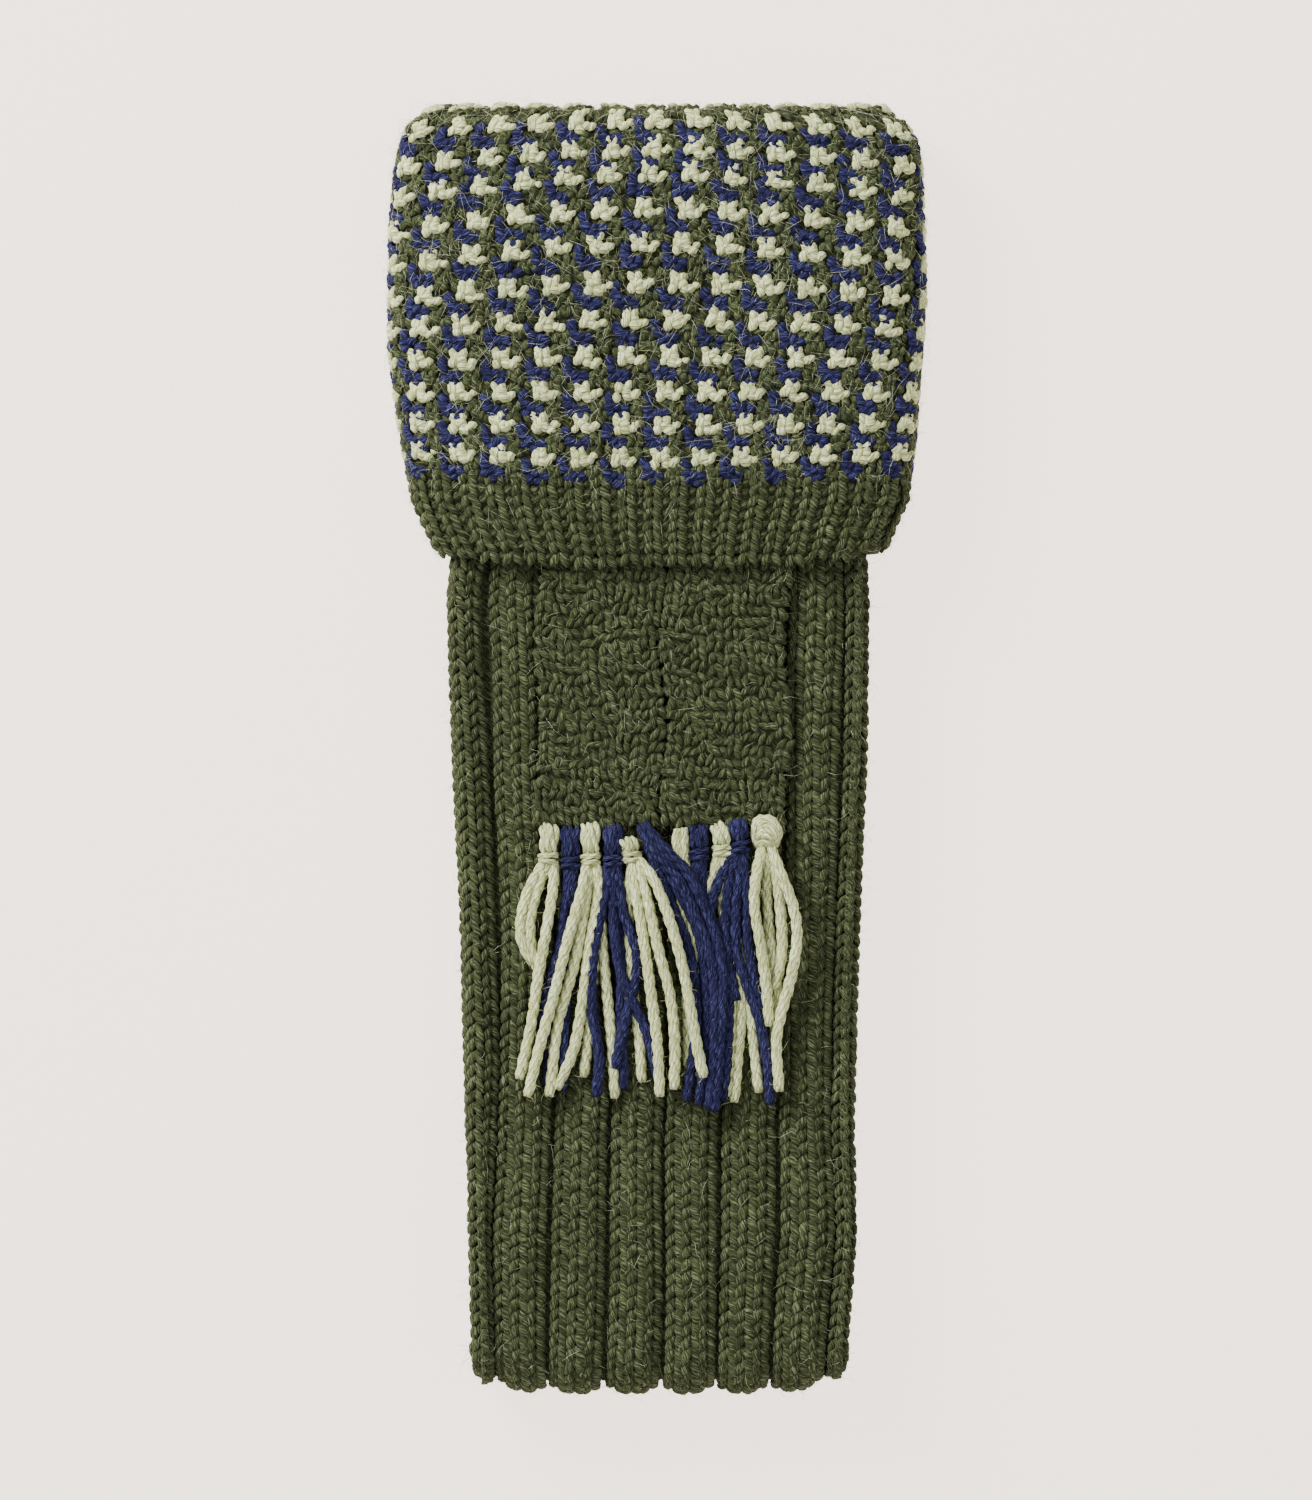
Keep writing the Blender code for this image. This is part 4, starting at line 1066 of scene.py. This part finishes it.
def make_tab(name, node, low, high, seed):
    """A garter end in moss stitch, with bumpy edges."""
    rng = np.random.default_rng(seed)
    surface = tab_surface(low, high)
    yarn = Yarn()
    columns = 8
    pitch = 2.9 * MM
    rows = np.arange(low.y + 1.2 * MM, high.y, pitch)
    width = (high.x - low.x) / columns
    for column in range(columns):
        share = np.full(len(rows), (column + 0.5) / columns)
        share = share + 0.012 * np.sin(rows / (6 * MM) + column) + rng.normal(0, 0.008, len(rows))
        y = rows + rng.normal(0, 0.3 * MM, len(rows)) + rng.uniform(-0.5, 0.5) * pitch
        is_purl = (np.arange(len(rows)) // 2 + column) % 2 == 0
        swap_some = rng.random(len(rows)) < 0.22
        is_purl = is_purl ^ swap_some
        tilt = rng.choice((-0.95, 0.95), is_purl.sum()) + rng.normal(0.0, 0.3, is_purl.sum())
        for half in (-1, 1):
            add_purl(yarn, rng, surface, share[is_purl] + half * 0.26 / columns, y[is_purl],
                     width, 1.65 * MM, lift=0.2 * MM, tilt=tilt)
        add_knit(yarn, rng, surface, share[~is_purl], y[~is_purl], width, pitch, width_share=1.1)
    edge_rows = np.arange(low.y + 1.0 * MM, high.y, 1.6 * pitch)
    for share in (0.015, 0.985):
        add_purl(yarn, rng, surface, np.full(len(edge_rows), share), edge_rows, 3.0 * MM, 2.9 * MM,
                 lift=-0.4 * MM, tilt=1.2)
    add_backing(yarn, surface, np.linspace(0.02, 0.98, 12), np.linspace(low.y, high.y, 30),
                0.7 * MM, high.z - low.z - 0.1 * MM, False)
    scatter_hairs(yarn, rng, surface, (0, 1), (low.y, high.y), 700, lift=0.7 * MM, slot=GREEN)
    scatter_hairs(yarn, rng, surface, (0, 1), (low.y, high.y), 110, lift=0.7 * MM)
    finish_piece(yarn.make(name, YARNS), "green_wool", node)


# The fringe, from left to right: the tassel's node, its yarn, the middle of its
# head and of its knot, and its strands, each a layer and a route from the knot.
# Places are millimetres across and along the sock.
TASSELS = (
    ("tassel_01", CREAM, (-26.6, -19.2), (-26.9, -27.0), (
        (0, ((-27.6, -28.0), (-31.6, -35.0), (-33.6, -42.0), (-33.6, -48.0), (-30.8, -54.0))),
        (0, ((-26.9, -28.2), (-29.8, -36.0), (-31.4, -43.0), (-31.2, -49.0), (-29.6, -55.5))),
        (1, ((-25.6, -28.2), (-25.8, -35.5), (-28.2, -50.0), (-29.6, -58.0), (-31.1, -68.4),
             (-34.1, -82.6))),
    )),
    ("tassel_02", NAVY, (-21.6, -19.8), (-21.2, -28.0), (
        (0, ((-21.9, -29.2), (-22.9, -44.6), (-26.4, -58.0), (-29.1, -71.0))),
        (0, ((-20.6, -29.2), (-21.2, -45.6), (-22.6, -63.1), (-23.4, -85.6))),
        (0, ((-21.3, -29.0), (-24.0, -52.0), (-25.6, -70.0), (-27.4, -84.0))),
    )),
    ("tassel_03", CREAM, (-16.6, -18.8), (-16.4, -27.2), (
        (0, ((-15.4, -29.0), (-14.0, -40.0), (-13.4, -48.9), (-12.4, -60.6), (-11.1, -73.6),
             (-10.4, -87.4))),
        (1, ((-15.2, -28.6), (-14.4, -36.0), (-16.8, -49.9), (-18.4, -63.1), (-20.6, -75.1),
             (-24.9, -85.1))),
        (0, ((-15.4, -28.6), (-14.8, -44.0), (-16.4, -62.0), (-16.8, -71.1), (-18.1, -82.1))),
        (1, ((-16.6, -28.6), (-17.6, -38.0), (-20.0, -52.0), (-22.9, -62.6), (-24.9, -71.1),
             (-26.6, -86.9))),
        (2, ((-17.4, -28.4), (-18.4, -35.0), (-21.8, -46.9), (-25.9, -63.1), (-29.1, -74.6),
             (-32.1, -86.9))),
    )),
    ("tassel_04", NAVY, (-10.9, -19.4), (-10.9, -27.6), (
        (0, ((-9.8, -29.0), (-9.4, -42.6), (-8.6, -56.0), (-8.8, -68.0), (-8.0, -85.0))),
        (1, ((-11.9, -28.6), (-12.9, -36.9), (-15.8, -52.6), (-16.0, -65.6), (-14.3, -76.4),
             (-14.9, -87.0))),
        (1, ((-10.9, -28.8), (-10.6, -44.0), (-9.1, -55.1), (-5.6, -63.6), (-2.0, -72.0),
             (0.4, -82.0))),
        (1, ((-10.0, -28.8), (-8.2, -41.0), (-5.0, -50.3), (-5.2, -58.0), (-7.8, -68.0),
             (-10.4, -80.0))),
    )),
    ("tassel_05", CREAM, (-7.4, -22.6), (-6.2, -26.6), (
        (0, ((-6.4, -30.0), (-7.0, -42.0), (-6.4, -54.0), (-5.4, -64.0), (-4.2, -73.0),
             (-3.6, -83.4))),
        (2, ((-6.2, -28.0), (-5.4, -34.1), (-2.9, -49.9), (-1.1, -63.1), (0.2, -73.6),
             (0.9, -86.9))),
        (2, ((-5.6, -27.6), (-2.9, -35.0), (0.4, -49.9), (3.4, -61.6), (4.6, -73.6),
             (4.4, -85.1))),
        (3, ((-5.0, -27.4), (-0.8, -32.6), (2.9, -41.6), (6.1, -52.6), (8.2, -63.1),
             (10.0, -73.6), (11.8, -82.1))),
    )),
    ("tassel_06", NAVY, (-3.6, -18.4), None, (
        (1, ((-2.4, -23.5), (2.9, -37.0), (8.0, -49.9), (9.6, -60.6), (9.8, -71.1), (7.4, -88.0))),
        (1, ((-1.6, -22.5), (4.6, -34.0), (10.4, -46.0), (12.4, -58.0), (12.6, -72.0), (10.6, -89.0))),
        (2, ((-4.2, -19.2), (-0.6, -25.4), (5.4, -32.5), (10.0, -42.0), (13.8, -53.0), (14.5, -66.0),
             (14.2, -78.0), (13.2, -90.0))),
        (2, ((-3.2, -18.8), (1.4, -25.0), (7.4, -30.6), (11.0, -37.6), (14.4, -46.0),
             (16.4, -54.6), (16.3, -66.0), (15.6, -78.0), (14.4, -90.6))),
        (1, ((-2.0, -20.5), (4.6, -28.0), (9.4, -33.0), (13.4, -42.0), (17.6, -54.0), (18.0, -67.0),
             (17.4, -80.0), (16.2, -88.0))),
    )),
    ("tassel_07", CREAM, (5.9, -19.6), None, (
        (0, ((5.3, -20.2), (5.2, -24.0), (6.0, -30.0), (6.5, -44.0), (7.6, -60.0), (8.0, -80.0))),
        (0, ((6.8, -20.0), (7.0, -24.0), (7.4, -30.0), (9.0, -46.0), (9.6, -62.0), (10.6, -82.0))),
    )),
    ("tassel_08", NAVY, (10.6, -19.4), (10.6, -26.0), (
        (0, ((10.2, -27.0), (10.2, -42.0), (12.0, -60.0), (13.0, -80.0))),
        (0, ((11.2, -27.0), (12.0, -40.0), (14.0, -60.0), (15.0, -82.0))),
    )),
    ("tassel_09", CREAM, (15.8, -18.8), (16.4, -25.0), (
        (0, ((15.4, -26.0), (14.4, -31.6), (12.9, -37.0), (12.0, -46.0))),
        (0, ((16.4, -26.4), (17.6, -44.0), (20.4, -55.1), (21.2, -65.6), (20.4, -76.4),
             (19.4, -88.4))),
        (0, ((16.0, -27.0), (16.6, -40.0), (18.6, -56.0), (18.6, -71.1), (17.6, -86.9))),
        (0, ((16.8, -26.8), (18.6, -42.0), (22.6, -58.0), (24.4, -75.0), (25.6, -86.0))),
    )),
    ("tassel_10", NAVY, (20.2, -17.8), (20.8, -24.0), (
        (1, ((19.8, -25.0), (16.6, -31.0), (13.6, -39.4), (12.9, -52.0))),
        (1, ((20.4, -25.6), (18.0, -34.0), (17.2, -46.0), (18.4, -56.0), (20.0, -63.0))),
        (1, ((21.0, -25.6), (19.9, -38.0), (19.9, -49.9), (22.8, -60.0), (26.1, -69.4),
             (27.9, -79.9), (28.4, -88.9))),
        (1, ((21.6, -25.4), (22.6, -38.0), (22.8, -48.0), (24.6, -58.0), (26.6, -66.0))),
    )),
    ("tassel_11", CREAM, None, None, (
        (0, ((27.8, -25.6), (27.6, -38.0), (28.6, -50.0), (30.0, -62.0), (29.0, -76.0))),
        (2, ((26.6, -24.4), (25.0, -31.0), (24.4, -39.4), (26.1, -49.9), (27.3, -58.9),
             (28.2, -69.4))),
        (1, ((28.6, -24.6), (30.2, -34.0), (31.2, -44.6), (31.1, -52.6), (29.4, -60.4))),
        (2, ((28.2, -24.2), (30.8, -31.0), (34.0, -39.4), (35.0, -47.4), (33.6, -56.9),
             (31.2, -65.6), (29.9, -73.6), (30.6, -85.6))),
    )),
)
# The big knot of the last tassel: routes of millimetres across, along and above
# the leg
BIG_KNOT = (
    ((25.5, -25.0, 1.6), (24.7, -21.6, 2.7), (25.0, -18.9, 3.4), (26.6, -17.6, 3.6), (28.0, -18.4, 3.0)),
    ((26.8, -24.6, 1.8), (26.0, -21.4, 3.2), (26.3, -19.4, 4.1), (27.5, -18.6, 4.4), (28.7, -19.2, 3.9)),
    ((25.9, -18.0, 3.2), (28.0, -17.9, 4.1), (29.9, -19.6, 4.1), (30.2, -22.2, 3.0), (28.9, -25.0, 1.8)),
    ((26.7, -19.8, 4.9), (28.3, -20.4, 5.3), (29.6, -21.9, 4.4), (28.8, -24.6, 2.8)),
    ((25.1, -22.6, 3.2), (26.5, -21.4, 4.4), (27.9, -21.7, 4.6), (29.0, -23.2, 3.5)),
    ((25.5, -24.6, 2.6), (26.6, -23.3, 3.9), (27.8, -23.5, 3.9), (28.6, -25.0, 2.4)),
)
STRAND_RADIUS = 1.4 * MM
LAYER_RISE = 1.9 * MM
STRAND_REST = 1.5 * MM


def strand_route(places, layer, head_rise):
    """A strand's route in space: it starts at its knot and sinks to its layer."""
    places = np.array(places) * MM
    run = np.concatenate(((0.0,), np.cumsum(np.hypot(*np.diff(places, axis=0).T))))
    share = run / run[-1]
    rest = LEG_TOP + STRAND_REST + LAYER_RISE * layer * (1 - 0.35 * share)
    near = np.clip(1 - run / (9 * MM), 0, 1)
    z = rest + (LEG_TOP + head_rise - rest) * near
    return np.column_stack((places, z))


def add_head(yarn, rng, slot, head, knot):
    """The looped head of a tassel over the garter's edge, wrapped at its knot."""
    head, knot = np.array(head) * MM, np.array(knot) * MM
    for index, spread in enumerate((-1.55, 0.0, 1.55)):
        top = head + np.array((spread * MM, rng.normal(0, 0.3 * MM)))
        bottom = knot + np.array((spread * 0.62 * MM, 0.5 * MM))
        rise = 0.5 * MM if index == 1 else 0.0
        route = np.array(((*top, LEG_TOP + 1.9 * MM), (*(top * 0.75 + bottom * 0.25), LEG_TOP + 3.3 * MM + rise),
                          (*(top * 0.35 + bottom * 0.65), LEG_TOP + 3.5 * MM + rise),
                          (*bottom, LEG_TOP + 2.9 * MM)))
        add_strand(yarn, rng, route, 1.25 * MM, slot, plies=2, pitch=9 * MM, step=0.8 * MM)
    for drop, reach in ((0.1 * MM, 2.35 * MM), (-1.35 * MM, 2.2 * MM)):
        tilt = rng.normal(0.3 * MM, 0.25 * MM)
        angles = np.radians((200, 160, 125, 90, 55, 20, -20))
        route = np.column_stack((knot[0] + reach * np.cos(angles),
                                 knot[1] + drop + tilt * np.cos(angles),
                                 LEG_TOP + 2.0 * MM + 2.0 * MM * np.sin(angles)))
        add_strand(yarn, rng, route, 0.85 * MM, slot, plies=2, pitch=7 * MM, step=0.8 * MM)


def make_fringe():
    """The cream and navy tassels along the garter's ends."""
    for index, (node, slot, head, knot, strands) in enumerate(TASSELS):
        rng = np.random.default_rng(50 + index)
        yarn = Yarn()
        if head and knot:
            add_head(yarn, rng, slot, head, knot)
        for layer, places in strands:
            route = strand_route(places, layer, 2.6 * MM if knot else 3.0 * MM)
            add_strand(yarn, rng, route, STRAND_RADIUS, slot)
            add_strand_hairs(yarn, rng, route, slot)
        if node == TASSELS[-1][0]:
            for places in BIG_KNOT:
                route = np.array(places) * MM + np.array((0, 0, LEG_TOP))
                add_strand(yarn, rng, route, 1.3 * MM, slot)
        wool_slot = "cream_wool" if slot == CREAM else "navy_wool"
        finish_piece(yarn.make(node + "_yarn", YARNS), wool_slot, node)


def add_strand_hairs(yarn, rng, route, slot):
    """Short loose fibres along a strand."""
    line = smooth_route(route, 1.6 * MM)
    side, up = route_frame(line)
    angle = rng.uniform(-0.3, np.pi + 0.3, len(line))[:, None]
    out = side * np.cos(angle) + up * np.sin(angle)
    along = unit(np.gradient(line, axis=0))
    centre = line + out * STRAND_RADIUS
    add_hairs(yarn, rng, centre, np.cross(along, out), along, out, 2.2 * MM, 0.5 * MM, slot,
              radius=0.03 * MM)


def make_light():
    """Even studio light, a little stronger from the upper left."""
    world = bpy.data.worlds.new("studio")
    world.use_nodes = True
    world.node_tree.nodes["Background"].inputs["Color"].default_value = (1.0, 0.99, 0.98, 1.0)
    world.node_tree.nodes["Background"].inputs["Strength"].default_value = 0.80
    bpy.context.scene.world = world
    for name, place, size, power in (
            ("key", (-0.90, 0.86, 0.78), 0.7, 44.0),
            ("fill", (0.9, -0.3, 1.2), 1.2, 6.0)):
        light = bpy.data.lights.new(name, "AREA")
        light.shape = "DISK"
        light.size = size
        light.energy = power
        made = bpy.data.objects.new(name, light)
        made.location = place
        made.rotation_euler = (-Vector(place)).to_track_quat("-Z", "Y").to_euler()
        bpy.context.scene.collection.objects.link(made)


FLOOR_GLOW = 3.3


def make_floor():
    """A plain pale floor."""
    bpy.ops.mesh.primitive_plane_add(size=6.0, location=(0, 0, CAD_LOW.z))
    floor = bpy.context.object
    floor.name = "floor"
    material = bpy.data.materials.new("floor")
    material.use_nodes = True
    shader = material.node_tree.nodes["Principled BSDF"]
    shader.inputs["Base Color"].default_value = (*srgb(160, 156, 151), 1.0)
    shader.inputs["Roughness"].default_value = 0.95
    shader.inputs["Specular IOR Level"].default_value = 0.1
    shader.inputs["Emission Color"].default_value = (*srgb(236, 223, 209), 1.0)
    shader.inputs["Emission Strength"].default_value = FLOOR_GLOW
    floor.data.materials.append(material)


def make_camera():
    """Straight above, as the photograph looks at the sock."""
    height = 2.4
    frame_height = 0.375
    camera = bpy.data.cameras.new("camera")
    camera.sensor_width = 36.0
    camera.lens = camera.sensor_width * (height - LEG_LEVEL) / frame_height
    camera.clip_start, camera.clip_end = 0.1, 10.0
    made = bpy.data.objects.new("camera", camera)
    made.location = (-0.0001, -0.0006, height)
    bpy.context.scene.collection.objects.link(made)
    bpy.context.scene.camera = made


make_camera()
make_light()
make_floor()
make_leg()
make_foot()
make_cuff()
make_border()
make_tab("garter_left_knit", "garter_tab_left", TAB_LEFT_LOW, TAB_LEFT_HIGH, 41)
make_tab("garter_right_knit", "garter_tab_right", TAB_RIGHT_LOW, TAB_RIGHT_HIGH, 42)
make_toe()
make_heel()
make_band()
make_fringe()
